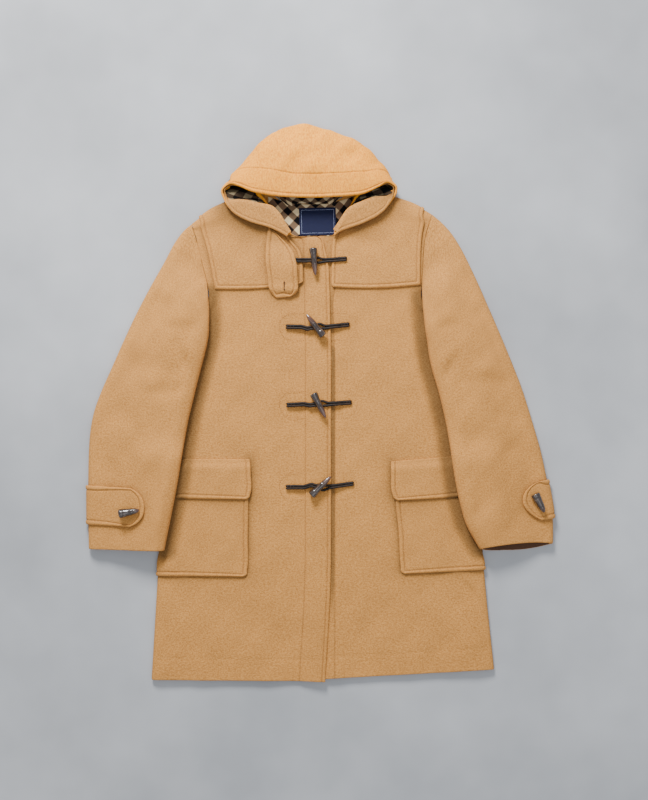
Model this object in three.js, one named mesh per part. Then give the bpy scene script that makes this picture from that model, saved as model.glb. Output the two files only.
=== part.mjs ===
import * as THREE from "three";

// A hooded duffle coat laid flat on its back. Millimetres, +Z up, the hem towards -Y.
// The coat's right and left are those of the one who wears it: its right lies at -X.

// Driving sizes
const CLOTH = 3;
const SEAM = 0.3;
const SEAM_HALF = 0.2;
const LIFT = CLOTH + SEAM;
const SIDE_R = 4.9;
const BODY_TOP = 2 * SIDE_R;
const LINING = 1;
const FACING = 2;
const ROLL_ANGLES = [0, 30, 60, 90];
const CORD_R = 2;
const TOGGLE_WAIST = 5.2;

const COLOURS = {
  camel: 0xc89e73,
  hood: 0xd8a878,
  lining: 0x8c7a62,
  cuff: 0x5a3b26,
  label: 0x1d2c5c,
  horn: 0x4a3c34,
  cord: 0x33231a,
};

// Small helpers
const rad = (degrees) => (degrees * Math.PI) / 180;
const mix = (a, b, t) => a + (b - a) * t;
const clamp01 = (t) => Math.min(1, Math.max(0, t));
const smooth = (from, to, value) => {
  const t = clamp01((value - from) / (to - from));
  return t * t * (3 - 2 * t);
};
const point = (x, y, z) => new THREE.Vector3(x, y, z);

// A table's row at a fractional row number, on a smooth curve through the rows
function readSmooth(table, at) {
  const last = table.length - 1;
  const i = Math.min(last - 1, Math.max(0, Math.floor(at)));
  const t = at - i;
  const a = table[Math.max(0, i - 1)];
  const b = table[i];
  const c = table[i + 1];
  const d = table[Math.min(last, i + 2)];
  return b.map((value, column) => {
    const out = (c[column] - a[column]) / 2;
    const into = (d[column] - value) / 2;
    const rise = c[column] - value;
    return value + t * (out + t * (3 * rise - 2 * out - into + t * (out + into - 2 * rise)));
  });
}

const steps = (count, from = 0, to = 1) =>
  Array.from({ length: count + 1 }, (unused, i) => mix(from, to, i / count));

// A closed wall between an outer and an inner grid of points
function wall(outer, inner) {
  const rows = outer.length;
  const columns = outer[0].length;
  const vertices = [...outer.flat(), ...inner.flat()];
  const far = rows * columns;
  const at = (i, j) => i * columns + j;
  const triangles = [];
  const quad = (a, b, c, d) => triangles.push(a, b, c, a, c, d);
  for (let i = 0; i < rows - 1; i += 1) {
    for (let j = 0; j < columns - 1; j += 1) {
      quad(at(i, j), at(i, j + 1), at(i + 1, j + 1), at(i + 1, j));
      triangles.push(far + at(i, j), far + at(i + 1, j + 1), far + at(i, j + 1));
      triangles.push(far + at(i, j), far + at(i + 1, j), far + at(i + 1, j + 1));
    }
  }
  for (let j = 0; j < columns - 1; j += 1) {
    quad(at(0, j), far + at(0, j), far + at(0, j + 1), at(0, j + 1));
    quad(at(rows - 1, j + 1), far + at(rows - 1, j + 1), far + at(rows - 1, j), at(rows - 1, j));
  }
  for (let i = 0; i < rows - 1; i += 1) {
    quad(at(i + 1, 0), far + at(i + 1, 0), far + at(i, 0), at(i, 0));
    quad(at(i, columns - 1), far + at(i, columns - 1), far + at(i + 1, columns - 1), at(i + 1, columns - 1));
  }
  return solid(vertices, triangles);
}

// A geometry from points and triangles, turned right side out
function solid(vertices, triangles) {
  let volume = 0;
  for (let i = 0; i < triangles.length; i += 3) {
    const [a, b, c] = [vertices[triangles[i]], vertices[triangles[i + 1]], vertices[triangles[i + 2]]];
    volume += a.dot(b.clone().cross(c));
  }
  const facing = volume < 0 ? flipped(triangles) : triangles;
  const geometry = new THREE.BufferGeometry();
  const numbers = vertices.flatMap((v) => [v.x, v.y, v.z]);
  geometry.setAttribute("position", new THREE.Float32BufferAttribute(numbers, 3));
  geometry.setIndex(facing);
  geometry.computeVertexNormals();
  return geometry;
}

function flipped(triangles) {
  const turned = [];
  for (let i = 0; i < triangles.length; i += 3) {
    turned.push(triangles[i], triangles[i + 2], triangles[i + 1]);
  }
  return turned;
}

// A round bar along a path, with its own radius at each point
function bar(path, radii, sides) {
  const frames = path.map((p, i) => {
    const before = path[Math.max(0, i - 1)];
    const after = path[Math.min(path.length - 1, i + 1)];
    return after.clone().sub(before).normalize();
  });
  let across = point(0, 0, 1).cross(frames[0]).normalize();
  const vertices = [];
  path.forEach((p, i) => {
    across = across.clone().sub(frames[i].clone().multiplyScalar(across.dot(frames[i]))).normalize();
    const up = frames[i].clone().cross(across);
    for (let k = 0; k < sides; k += 1) {
      const angle = rad((360 * k) / sides);
      const ring = across.clone().multiplyScalar(Math.cos(angle) * radii[i]);
      vertices.push(p.clone().add(ring).add(up.clone().multiplyScalar(Math.sin(angle) * radii[i])));
    }
  });
  const triangles = [];
  for (let i = 0; i < path.length - 1; i += 1) {
    for (let k = 0; k < sides; k += 1) {
      const a = i * sides + k;
      const b = i * sides + ((k + 1) % sides);
      triangles.push(a, b, b + sides, a, b + sides, a + sides);
    }
  }
  const start = vertices.push(path[0].clone()) - 1;
  const end = vertices.push(path[path.length - 1].clone()) - 1;
  const tail = (path.length - 1) * sides;
  for (let k = 0; k < sides; k += 1) {
    triangles.push(start, (k + 1) % sides, k);
    triangles.push(end, tail + k, tail + ((k + 1) % sides));
  }
  return solid(vertices, triangles);
}

// Fronts. Columns: outer x, outer y, inner x, inner y, side roll from 0 to 1
const FRONT_RIGHT = [
  [-316, -511, 6, -514, 1],
  [-305, -326, 16, -326, 1],
  [-296, -178, 17, -178, 1],
  [-287, -30, 17, -30, 1],
  [-278, 100, 17, 100, 1],
  [-244, 146, 16, 146, 1],
  [-210, 198, 15, 198, 1],
  [-213, 226, 14, 226, 0],
  [-219, 250, 13, 250, 0],
  [-227, 281, 7, 280, 0],
  [-233, 308, -6, 309, 0],
  [-235, 313, -48, 311, 0],
  [-238, 321, -72, 332, 0],
];
const FRONT_LEFT = [
  [319, -492, -26, -511, 1],
  [302, -326, -26, -326, 1],
  [291, -178, -26, -178, 1],
  [276, -30, -26, -30, 1],
  [263, 90, -26, 100, 1],
  [224, 146, -26, 146, 1],
  [185, 196, -26, 196, 1],
  [185, 226, -26, 226, 0],
  [186.5, 257, -26, 250, 0],
  [189, 294, -24, 280, 0],
  [192, 312, -12, 304, 0],
  [195, 324, 20, 308, 0],
  [199, 336, 32, 334, 0],
];
const ARMHOLE_FROM = 6;
const SHOULDER_RIGHT = { tip: [-242, 333], neck: [-111, 390], bow: 11 };
const SHOULDER_LEFT = { tip: [204, 351], neck: [67, 396], bow: 8 };

const RIGHT = { sign: 1, front: FRONT_RIGHT, shoulder: SHOULDER_RIGHT };
const LEFT = { sign: -1, front: FRONT_LEFT, shoulder: SHOULDER_LEFT };

function shoulderPoint(side, along) {
  const { tip, neck, bow } = side.shoulder;
  const rise = bow * Math.sin(Math.PI * along ** 0.85);
  return [mix(tip[0], neck[0], along), mix(tip[1], neck[1], along) + rise];
}

function shoulderInward(side) {
  const { tip, neck } = side.shoulder;
  const run = point(neck[0] - tip[0], neck[1] - tip[1], 0).normalize();
  return side.sign > 0 ? [run.y, -run.x] : [-run.y, run.x];
}

function sideX(side, y) {
  const rows = side.front;
  for (let i = 0; i < ARMHOLE_FROM; i += 1) {
    if (y <= rows[i + 1][1]) {
      return mix(rows[i][0], rows[i + 1][0], (y - rows[i][1]) / (rows[i + 1][1] - rows[i][1]));
    }
  }
  return rows[ARMHOLE_FROM][0];
}

// The right front laps over the left one from the lap line on
const LAP = { from: -34, to: -27 };
const lapRise = (x) => LIFT * clamp01((x - LAP.from) / (LAP.to - LAP.from));
const rightTop = (x) => BODY_TOP + lapRise(x);
const leftTop = () => BODY_TOP;

// A point on the rolled side edge, some way off the cloth's outer face
function rolledSide(side, edge, y, angle, off) {
  const radius = SIDE_R + off;
  const x = edge + side.sign * (SIDE_R - radius * Math.cos(rad(angle)));
  const gap = angle === 0 ? SEAM_HALF : 0;
  return point(x, y, SIDE_R + radius * Math.sin(rad(angle)) + gap);
}

function rolledShoulder(side, along, angle, off, upper = 1) {
  const [x, y] = shoulderPoint(side, along);
  const [nx, ny] = shoulderInward(side);
  const radius = SIDE_R + off;
  const inward = SIDE_R - radius * Math.cos(rad(angle));
  const gap = angle === 0 ? SEAM_HALF : 0;
  return point(x + nx * inward, y + ny * inward, SIDE_R + upper * (radius * Math.sin(rad(angle)) + gap));
}

// The inner columns of a front row: even ones, then the two where it climbs over the other front
function frontColumns(side, outer, inner, laps) {
  const from = outer + side.sign * SIDE_R;
  if (!laps) {
    return steps(4).slice(1).map((t) => mix(from, inner, t));
  }
  const foot = Math.min(LAP.from, mix(from, inner, 0.86));
  const head = Math.min(LAP.to, mix(from, inner, 0.9));
  return [...steps(4).slice(1).map((t) => mix(from, foot, t)), head, inner];
}

// One front panel: rolled at the side and at the shoulder
function frontPanel(side, top, laps) {
  const grid = (off) => {
    const rows = side.front.map(([ox, oy, ix, iy, roll]) => {
      const atArmhole = roll < 1 ? side.sign * SEAM_HALF : 0;
      const edge = ROLL_ANGLES.map((angle, k) => {
        const plainX = ox + atArmhole + (side.sign * SIDE_R * k) / 3;
        const plain = point(plainX, oy, top(plainX) + off);
        return plain.lerp(rolledSide(side, ox, oy, angle, off), roll);
      });
      const flat = frontColumns(side, ox, ix, laps).map((x) => {
        const t = (x - ox) / (ix - ox);
        return point(x, mix(oy, iy, t), top(x) + off);
      });
      return [...edge, ...flat];
    });
    const columns = [0, 1 / 3, 2 / 3, 1].map((t) => (t * SIDE_R) / 131 + 0.002);
    const shares = laps ? [0.22, 0.43, 0.65, 0.86, 0.93, 1] : steps(4).slice(1);
    const shoulder = [...ROLL_ANGLES].reverse().map((angle) => {
      const edge = columns.map((along) => rolledShoulder(side, along, angle, off));
      const flat = shares.map((t) => rolledShoulder(side, mix(columns[3], 1, t), angle, off));
      return [...edge, ...flat];
    });
    return [...rows, ...shoulder];
  };
  return wall(grid(0), grid(-CLOTH));
}

// Yokes. Columns: outer x, outer y, inner x, inner y
const YOKE_RIGHT = [
  [-198, 212, -42, 222],
  [-198.6, 216, -36, 225],
  [-201, 230, -35, 235],
  [-205, 252, -36, 262],
  [-212, 285, -42, 284],
  [-218, 305, -56.5, 302],
  [-221, 315, -67, 319],
  [-223, 323, -74, 333],
];
const YOKE_LEFT = [
  [182, 220, 20, 216],
  [182, 226, 17.5, 222],
  [182, 240, 17.5, 236],
  [182, 262, 17.5, 262],
  [183, 290, 18.5, 288],
  [185, 312, 20.5, 305],
  [187, 324, 24, 314],
  [189, 333, 34, 335],
];
const YOKE_SHOULDER = 0.11;
const YOKE_BOTTOM_DIP = 4;

function yoke(side, rows, across) {
  const grid = (off) => {
    const flat = rows.map(([ox, oy, ix, iy], i) =>
      across.map((t) => {
        const dip = i < 3 ? YOKE_BOTTOM_DIP * Math.sin(Math.PI * t) * (1 - i / 3) : 0;
        return point(mix(ox, ix, t), mix(oy, iy, t) - dip, BODY_TOP + off);
      }),
    );
    const rolled = [...ROLL_ANGLES].reverse().map((angle) =>
      across.map((t) => rolledShoulder(side, mix(YOKE_SHOULDER, 1, t), angle, off)),
    );
    return [...flat, ...rolled];
  };
  return wall(grid(LIFT), grid(SEAM));
}

// The back: places along each shoulder, and the neck line between them
const BACK_SHOULDER = [0.06, 0.3, 0.6, 0.9, 1];
const NECK_LINE = [
  [-103, 392],
  [-91, 388],
  [-79, 378.5],
  [-24, 369.5],
  [10, 371.5],
  [35, 382],
  [50, 395],
];

function backPanel() {
  const grid = (off) => {
    const rows = FRONT_RIGHT.map((right, i) => {
      const left = FRONT_LEFT[i];
      const roll = right[4];
      const hem = i === 0 ? 1 : 0;
      const dip = hem ? 9 : 0;
      const line = (x) => {
        const t = (x - right[0]) / (left[0] - right[0]);
        return mix(right[1], left[1], t) - dip * Math.sin(Math.PI * t) + 2 * hem;
      };
      const edge = (side, row) =>
        ROLL_ANGLES.map((angle, k) => {
          const radius = SIDE_R + off;
          const shift = roll < 1 ? SEAM_HALF : 0;
          const x = row[0] + side.sign * (SIDE_R - radius * Math.cos(rad(angle)));
          const gap = angle === 0 ? SEAM_HALF : 0;
          const rolled = point(x, line(row[0]), SIDE_R - radius * Math.sin(rad(angle)) - gap);
          const plain = point(row[0] + side.sign * (shift + (SIDE_R * k) / 3), line(row[0]), -off);
          return plain.lerp(rolled, roll);
        });
      const from = right[0] + SIDE_R;
      const to = left[0] - SIDE_R;
      const flat = backShares().map((t) => point(mix(from, to, t), line(mix(from, to, t)), -off));
      return [...edge(RIGHT, right), ...flat, ...edge(LEFT, left).reverse()];
    });
    return [...rows, ...backTop(off)];
  };
  return wall(grid(0), grid(-CLOTH));
}

// Where the back's inner columns stand between its two side rolls
function backShares() {
  const places = topPlaces();
  const from = places[0].x;
  const to = places[places.length - 1].x;
  return places.slice(1, -1).map((place) => (place.x - from) / (to - from));
}

function topPlaces() {
  const right = BACK_SHOULDER.map((along) => ({ side: RIGHT, along, x: shoulderPoint(RIGHT, along)[0] }));
  const neck = NECK_LINE.map(([x, y]) => ({ x, y }));
  const left = BACK_SHOULDER.map((along) => ({ side: LEFT, along, x: shoulderPoint(LEFT, along)[0] }));
  return [...right, ...neck, ...left.reverse()];
}

function backTop(off) {
  const places = topPlaces();
  const edge = [0.002, 0.02, 0.04];
  const before = edge.map((along) => ({ side: RIGHT, along }));
  const after = edge.map((along) => ({ side: LEFT, along })).reverse();
  const all = [...before, ...places, ...after];
  return [...ROLL_ANGLES].reverse().map((angle) =>
    all.map((place) => {
      if (place.side) {
        return rolledShoulder(place.side, place.along, angle, off, -1);
      }
      return point(place.x, place.y - (SIDE_R * angle) / 90, -off);
    }),
  );
}

// Patch pockets and flaps. Columns: y at the side seam, inner x, inner y
const POCKET_RIGHT = [
  [-318, -146, -319],
  [-313, -140, -316],
  [-304, -138, -305],
  [-250, -137, -250],
  [-180, -136, -180],
  [-117, -136, -117],
];
const POCKET_LEFT = [
  [-307, 152, -314],
  [-303, 147, -311],
  [-296, 145.5, -300],
  [-240, 142, -240],
  [-180, 136, -182],
  [-112, 135, -121],
];
const FLAP_RIGHT = [
  [-174, -140, -176],
  [-170, -135, -173],
  [-163, -132, -165],
  [-130, -131.5, -130],
  [-116, -132, -116],
  [-106, -133, -107],
  [-102, -134, -102],
];
const FLAP_LEFT = [
  [-170, 140, -178],
  [-166, 134, -175],
  [-158, 130, -166],
  [-126, 127.5, -133],
  [-111, 127.5, -119],
  [-99, 127.5, -110],
  [-94, 128, -106],
];
const PATCH_ANGLES = [25, 50, 90];

function patch(side, rows, lift, across) {
  const grid = (over) =>
    rows.map(([sideY, ix, iy], i) => {
      const off = lift(i) + over;
      const edge = sideX(side, sideY);
      const rolled = PATCH_ANGLES.map((angle) => rolledSide(side, edge, sideY, angle, off));
      const flat = across.slice(1).map((t) => {
        const y = mix(sideY, iy, t);
        return point(mix(edge + side.sign * SIDE_R, ix, t), y, BODY_TOP + off);
      });
      return [...rolled, ...flat];
    });
  return wall(grid(CLOTH), grid(0));
}

const pocketLift = () => SEAM;
const flapLift = (row) => (row < 5 ? LIFT + SEAM : SEAM);

// Sleeves. Columns: outer x, outer y, inner x, inner y
const SLEEVE_RIGHT = [
  [-242, 333, -210, 198],
  [-265, 311, -208, 172],
  [-290, 266, -208, 150],
  [-323, 207, -209, 126],
  [-353, 148, -215, 98],
  [-383, 81, -228, 48],
  [-410, 20, -240, -2],
  [-426, -30, -250, -46],
  [-432, -90, -259, -104],
  [-433, -150, -268, -158],
  [-433, -208, -279, -214],
  [-432, -268, -290, -269],
];
const SLEEVE_LEFT = [
  [204, 351, 185, 196],
  [231, 327, 187, 170],
  [257, 289, 190, 140],
  [287, 228, 195, 108],
  [318, 157, 203, 70],
  [344, 96, 215, 34],
  [372, 24, 228, -16],
  [390, -34, 237, -58],
  [405, -86, 245, -112],
  [417, -143, 255, -170],
  [427, -202, 269, -222],
  [428, -258, 290, -266],
];
const ARM_RIGHT = { side: RIGHT, rows: SLEEVE_RIGHT, onPatch: [-72, -96] };
const ARM_LEFT = { side: LEFT, rows: SLEEVE_LEFT, onPatch: [-62, -88] };
const SLEEVE_ROLL = 7;
const SLEEVE_BULGE = 3.6;
const REST = { full: 8, none: 40 };

// How far a place lies outside the body's side line
function outsideBody(side, x, y) {
  const rows = side.front;
  if (y <= rows[ARMHOLE_FROM][1] && side.sign * (x - sideX(side, y)) >= 0) {
    return 0;
  }
  let best = Infinity;
  for (let i = 0; i < ARMHOLE_FROM; i += 1) {
    const [ax, ay] = rows[i];
    const [bx, by] = rows[i + 1];
    const length = (bx - ax) ** 2 + (by - ay) ** 2;
    const t = clamp01(((x - ax) * (bx - ax) + (y - ay) * (by - ay)) / length);
    best = Math.min(best, Math.hypot(x - mix(ax, bx, t), y - mix(ay, by, t)));
  }
  return best;
}

// The height that a sleeve rests on: the floor outside, the body and its pocket inside
function restHeight(arm, x, y, reach) {
  const share = 1 - smooth(REST.full, REST.full + reach, outsideBody(arm.side, x, y));
  const onPatch = smooth(arm.onPatch[0], arm.onPatch[1], y);
  return share * (BODY_TOP + SEAM + 2 * LIFT * onPatch);
}

function armholeBow(arm, w) {
  const rows = arm.side.front;
  const last = rows.length - 1;
  const line = rows.slice(ARMHOLE_FROM, last + 1).map(([x, y]) => [x, y]);
  line.push(arm.side.shoulder.tip);
  const [ox, oy] = line[line.length - 1];
  const [ix, iy] = line[0];
  const y = mix(oy, iy, w);
  let x = ix;
  for (let i = 0; i < line.length - 1; i += 1) {
    if (y >= line[i][1]) {
      x = mix(line[i][0], line[i + 1][0], (y - line[i][1]) / (line[i + 1][1] - line[i][1]));
    }
  }
  return x - mix(ox, ix, w);
}

// A sleeve point at row k: across is the way from the outer to the inner fold, angle is its roll
function sleevePoint(arm, k, column, off, upper) {
  const [ox, oy, ix, iy] = readSmooth(arm.rows, k);
  const width = Math.hypot(ix - ox, iy - oy);
  const early = 1 - smooth(0, 2.5, k);
  const end = mix(SLEEVE_ROLL, SIDE_R, early);
  const sine = Math.sin(rad(column.angle));
  const cosine = Math.cos(rad(column.angle));
  const inset = (end - (end + off) * cosine) / width;
  const flatFrom = end / width;
  const flatW = () => mix(flatFrom, 1 - flatFrom, column.across);
  const w = column.end === "outer" ? inset : column.end === "inner" ? 1 - inset : flatW();
  const bow = armholeBow(arm, clamp01(w)) * (1 - smooth(0, 2, k));
  const x = mix(ox, ix, w) + bow - arm.side.sign * SEAM_HALF * (k === 0 ? 1 : 0);
  const y = mix(oy, iy, w);
  const low = restHeight(arm, x, y, REST.none - REST.full);
  const wide = restHeight(arm, x, y, mix(90, REST.none - REST.full, early));
  const belly = SLEEVE_BULGE * Math.sin(Math.PI * clamp01(w)) ** 0.8;
  const startHalf = mix(SIDE_R, 3.3, smooth(0.6, 1, w));
  const half = mix(SLEEVE_ROLL + belly, startHalf, early);
  const top = wide + 2 * half;
  const middle = (top + low) / 2;
  const tall = (top - low) / 2 + off;
  const gap = column.angle === 0 ? SEAM_HALF : 0;
  return point(x, y, middle + upper * (tall * sine + gap));
}

// The columns of a sleeve row: some on the floor, and three where the row climbs onto the body
function sleeveColumns(arm, k) {
  const [ox, oy, ix, iy] = readSmooth(arm.rows, k);
  const width = Math.hypot(ix - ox, iy - oy);
  const outside = (w) => outsideBody(arm.side, mix(ox, ix, w), mix(oy, iy, w));
  const climb = (distance) => steps(200).find((w) => outside(w) <= distance) ?? 1;
  const end = SLEEVE_ROLL / width;
  const share = (w) => (w - end) / (1 - 2 * end);
  const head = Math.min(0.93, share(climb(REST.full)));
  const foot = Math.min(head - 0.08, share(climb(REST.none)));
  const across = [foot * 0.36, foot * 0.7, foot, mix(foot, head, 0.5), head];
  return [
    ...[0, 30, 60, 90].map((angle) => ({ end: "outer", angle })),
    ...across.map((w) => ({ end: "flat", across: w, angle: 90 })),
    ...[90, 60, 30, 0].map((angle) => ({ end: "inner", angle })),
  ];
}
const SLEEVE_STATIONS = [0, 0.6, 1.3, 2, 2.8, 3.6, 4.4, 5.2, 6, 6.7, 7.3, 8, 8.6, 9.3, 10, 10.6, 11];

function sleevePanel(arm, upper) {
  const grid = (off) =>
    SLEEVE_STATIONS.map((k) =>
      sleeveColumns(arm, k).map((column) => {
        const place = sleevePoint(arm, k, column, off, upper);
        return arm.cuff ? arm.cuff(place, k, upper) : place;
      }),
    );
  return wall(grid(0), grid(-CLOTH));
}

// The left cuff stands open: its under side reaches further than its top
ARM_LEFT.cuff = (place, k, upper) => {
  const late = smooth(10, 11, k);
  const across = clamp01((place.x - 290) / 138);
  const reach = upper > 0 ? -6 : 9;
  return place.setY(place.y - late * reach * Math.sin(Math.PI * across) ** 0.7);
};

const CUFF_LINING = { rows: [10, 10.6, 10.97], thickness: 1.2, gap: 0.5 };

function cuffLining(arm) {
  const low = CLOTH + CUFF_LINING.gap;
  const grid = (off) =>
    CUFF_LINING.rows.map((k) =>
      sleeveColumns(arm, k)
        .slice(3, -3)
        .map((column) => arm.cuff(sleevePoint(arm, k, column, 0, -1), k, -1).add(point(0, 0, off))),
    );
  return wall(grid(low + CUFF_LINING.thickness), grid(low));
}

// Finds the sleeve row and the way across it for a place in plan
function sleevePlace(arm, x, y) {
  let k = 9.5;
  let w = 0.3;
  for (let i = 0; i < 30; i += 1) {
    const [ox, oy, ix, iy] = readSmooth(arm.rows, k);
    w = (x - ox) / (ix - ox);
    k += (mix(oy, iy, w) - y) / 60;
  }
  return { k, w, width: Math.abs(readSmooth(arm.rows, k)[2] - readSmooth(arm.rows, k)[0]) };
}

// Cuff straps. Columns: y, x of the strap's end on the sleeve
const STRAP_RIGHT = [
  [-225, -352],
  [-220, -341],
  [-211, -331],
  [-189, -324.5],
  [-168, -331],
  [-160, -339],
  [-154, -350],
];
const STRAP_LEFT = [
  [-214, 404],
  [-208, 392],
  [-197, 378],
  [-176, 368.5],
  [-158, 376],
  [-148, 388],
  [-142, 402],
];

const STRAP_GAP = 0.9;

function strap(arm, rows) {
  const grid = (off) =>
    rows.map(([y, tip]) => {
      const { k, w, width } = sleevePlace(arm, tip, y);
      const end = SLEEVE_ROLL / width;
      const rolled = ROLL_ANGLES.map((angle) => sleevePoint(arm, k, { end: "outer", angle }, off, 1));
      const flat = [0.3, 0.65, 1].map((t) => {
        const across = (mix(end, w, t) - end) / (1 - 2 * end);
        return sleevePoint(arm, k, { end: "flat", across, angle: 90 }, off, 1);
      });
      return [...rolled, ...flat];
    });
  return wall(grid(STRAP_GAP + CLOTH), grid(STRAP_GAP));
}

// Hood. Columns: edge x, y, z; fold x, y, z; neck x, y, z; height at the low point; rise of the crown;
// how much of its usual reach from the edge the facing has
const HOOD = [
  [-64, 309, 17.2, -60, 315, 19, -58.5, 312, 13.5, 15, 0, 0.86],
  [-80, 318, 17.2, -69, 329, 20, -72, 327, 13.5, 16, 0, 0.86],
  [-102, 327, 17.2, -82, 350, 21.5, -85.5, 348, 13.5, 17, 0, 0.86],
  [-117, 331, 17.2, -92, 360, 22, -94, 357.5, 13.5, 17, 0, 0.86],
  [-135, 337, 17.2, -119, 367, 22.5, -101, 370, 13.5, 15, 0, 0.86],
  [-153.5, 346, 17.2, -138, 372, 22.5, -105, 377, 13.5, 14.5, 0, 0.86],
  [-166, 355, 18, -152, 373, 21.5, -109, 382, 13.5, 14, 0, 0.86],
  [-176.5, 366.5, 20, -168, 374, 18, -113, 387.5, 13.6, 14, 0, 0.86],
  [-183, 382, 23, -182, 385, 16, -113, 395.5, 13.5, 14, 0, 0.86],
  [-184.5, 394, 26, -185, 399, 9.5, -109, 398, 0, 0, 0, 0.6],
  [-172, 403.5, 30, -178, 412, 10, -101, 397.5, 0, 0, 3, 0.36],
  [-153.5, 398.5, 33, -155, 435, 10, -91, 391.5, 0, 0, 10, 0.34],
  [-130.6, 389, 34, -134, 464, 10, -79, 381.5, 0, 0, 12, 0.24],
  [-87, 380.5, 35, -82, 507, 10, -60, 375.5, 0, 0, 13, 0.19],
  [-28, 377.5, 35, -30, 517, 10, -24, 371, 0, 0, 13, 0.17],
  [28, 379, 35, 28, 502, 10, 8, 373.5, 0, 0, 13, 0.18],
  [75, 384, 34.5, 82, 474, 10, 34, 385, 0, 0, 12, 0.22],
  [104, 397, 33.5, 110, 446, 10, 47, 396, 0, 0, 10, 0.32],
  [122, 407, 31, 129, 419, 10, 57, 402.5, 0, 0, 3, 0.36],
  [136, 400, 27, 137.5, 407, 9.5, 65, 404, 0, 0, 0, 0.6],
  [137, 388, 23.5, 136, 392, 16, 69, 401.5, 13.5, 14, 0, 0.86],
  [129, 374, 20, 121, 381, 18, 68, 392.5, 13.6, 14, 0, 0.86],
  [117, 359.5, 18, 111, 379, 21.5, 65, 387.5, 13.5, 14, 0, 0.86],
  [103.6, 348, 17.2, 96, 378, 22.5, 61, 382, 13.5, 14.5, 0, 0.86],
  [85, 337.6, 17.2, 72, 369, 22.5, 56, 372, 13.5, 15, 0, 0.86],
  [69, 330.6, 17.2, 51, 358, 22, 49, 356, 13.5, 17, 0, 0.86],
  [46, 323, 17.2, 40, 343, 21, 38, 340.5, 13.5, 17, 0, 0.86],
  [32, 317.5, 17.2, 32, 329.5, 20, 30, 326, 13.5, 16, 0, 0.86],
  [21, 311, 17.2, 25, 319, 19, 25, 316, 13.5, 15, 0, 0.86],
];
const LOW_SHARE = 0.3;

const YOKE_TOP = BODY_TOP + LIFT;
const ON_YOKES = 8;
const onYokes = (at) => at <= ON_YOKES || at >= HOOD.length - 1 - ON_YOKES;

// One rib of the hood from its edge to the neck seam
function rib(at) {
  const row = readSmooth(HOOD, at);
  const edge = point(row[0], row[1], row[2]);
  const fold = point(row[3], row[4], row[5]);
  const neck = point(row[6], row[7], row[8]);
  const rise = row[10];
  const first = edge.clone().lerp(fold, 1 / 3).add(point(0, 0, 0.9 * rise));
  const second = edge.clone().lerp(fold, 2 / 3).add(point(0, 0, rise));
  const low = fold.clone().lerp(neck, LOW_SHARE).setZ(row[9]);
  const curve = new THREE.CatmullRomCurve3([edge, first, second, fold, low, neck], false, "centripetal");
  return { curve, facing: row[11] };
}

function hoodPoint(at, s) {
  const place = rib(at).curve.getPoint(s);
  const floor = onYokes(at) ? YOKE_TOP + SEAM : 0;
  return place.setZ(Math.max(floor, place.z));
}

// The side of the hood cloth that faces into the hood, at a place on it
function hoodInward(at, s) {
  const h = 0.02;
  const last = HOOD.length - 1;
  const along = hoodPoint(Math.min(last, at + h), s).sub(hoodPoint(Math.max(0, at - h), s));
  const across = hoodPoint(at, Math.min(1, s + h)).sub(hoodPoint(at, Math.max(0, s - h)));
  return across.cross(along).normalize();
}

function hoodSkin(at, s, off) {
  const place = hoodPoint(at, s).add(hoodInward(at, s).multiplyScalar(off));
  const floor = onYokes(at) ? YOKE_TOP + SEAM : off;
  return place.setZ(Math.max(floor, place.z));
}

const CROWN_ROWS = [12.5, 13.5, 14.5, 15.5];
const HOOD_STATIONS = [...HOOD.map((row, i) => i), ...CROWN_ROWS].sort((a, b) => a - b);
const SHELL_SHARES = [0, 0.1, 0.2, 0.4, 0.5, 0.6, 0.7, 0.8, 0.9, 1];
const FACING_SHARES = SHELL_SHARES.filter((share) => share <= 0.7);
const FACING_GAP = 1.3;
const LINING_FROM = 0.8;

function hoodShell() {
  const grid = (off) => HOOD_STATIONS.map((at) => SHELL_SHARES.map((s) => hoodSkin(at, s, off)));
  return wall(grid(0), grid(CLOTH));
}

function hoodFacing() {
  const low = CLOTH + FACING_GAP;
  const grid = (off) =>
    HOOD_STATIONS.map((at) => FACING_SHARES.map((share) => hoodSkin(at, share * rib(at).facing, off)));
  return wall(grid(low + FACING), grid(low));
}

// The lining stops short of the seam where the hood wraps the shoulder's end
const rowShort = (at) => (Math.abs(at - (HOOD.length - 1) / 2) > 3 ? 0.94 : 0.995);

function hoodLining() {
  const last = HOOD.length - 1;
  const from = ON_YOKES + 3;
  const rows = HOOD_STATIONS.filter((at) => at >= from && at <= last - from);
  const shares = (at) => steps(5, LINING_FROM, rowShort(at));
  const grid = (off) => rows.map((at) => shares(at).map((s) => hoodSkin(at, s, off)));
  return wall(grid(LIFT + LINING), grid(LIFT));
}

// Lining behind the neck. Columns: left x, right x, y, rise of the row's ends
const NECK_LINING = [
  [-96, 66, 288, 0],
  [-96, 64, 312, 0],
  [-95, 58, 335, 2],
  [-98, 57, 352, 6],
  [-100, 57, 370.2, 14],
];

function neckLining() {
  const grid = (z) =>
    NECK_LINING.map(([left, right, y, rise]) =>
      steps(8).map((t) => point(mix(left, right, t), y + rise * (2 * t - 1) ** 2, z)),
    );
  return wall(grid(LIFT + LINING), grid(LIFT));
}

const LABEL = { centre: [-8, 338.5], width: 68, height: 51, turn: 1.5, thickness: 0.8 };

function label() {
  const geometry = new THREE.BoxGeometry(LABEL.width, LABEL.height, LABEL.thickness);
  geometry.rotateZ(rad(LABEL.turn));
  geometry.translate(LABEL.centre[0], LABEL.centre[1], LIFT + LINING + SEAM + LABEL.thickness / 2);
  return geometry;
}

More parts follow.
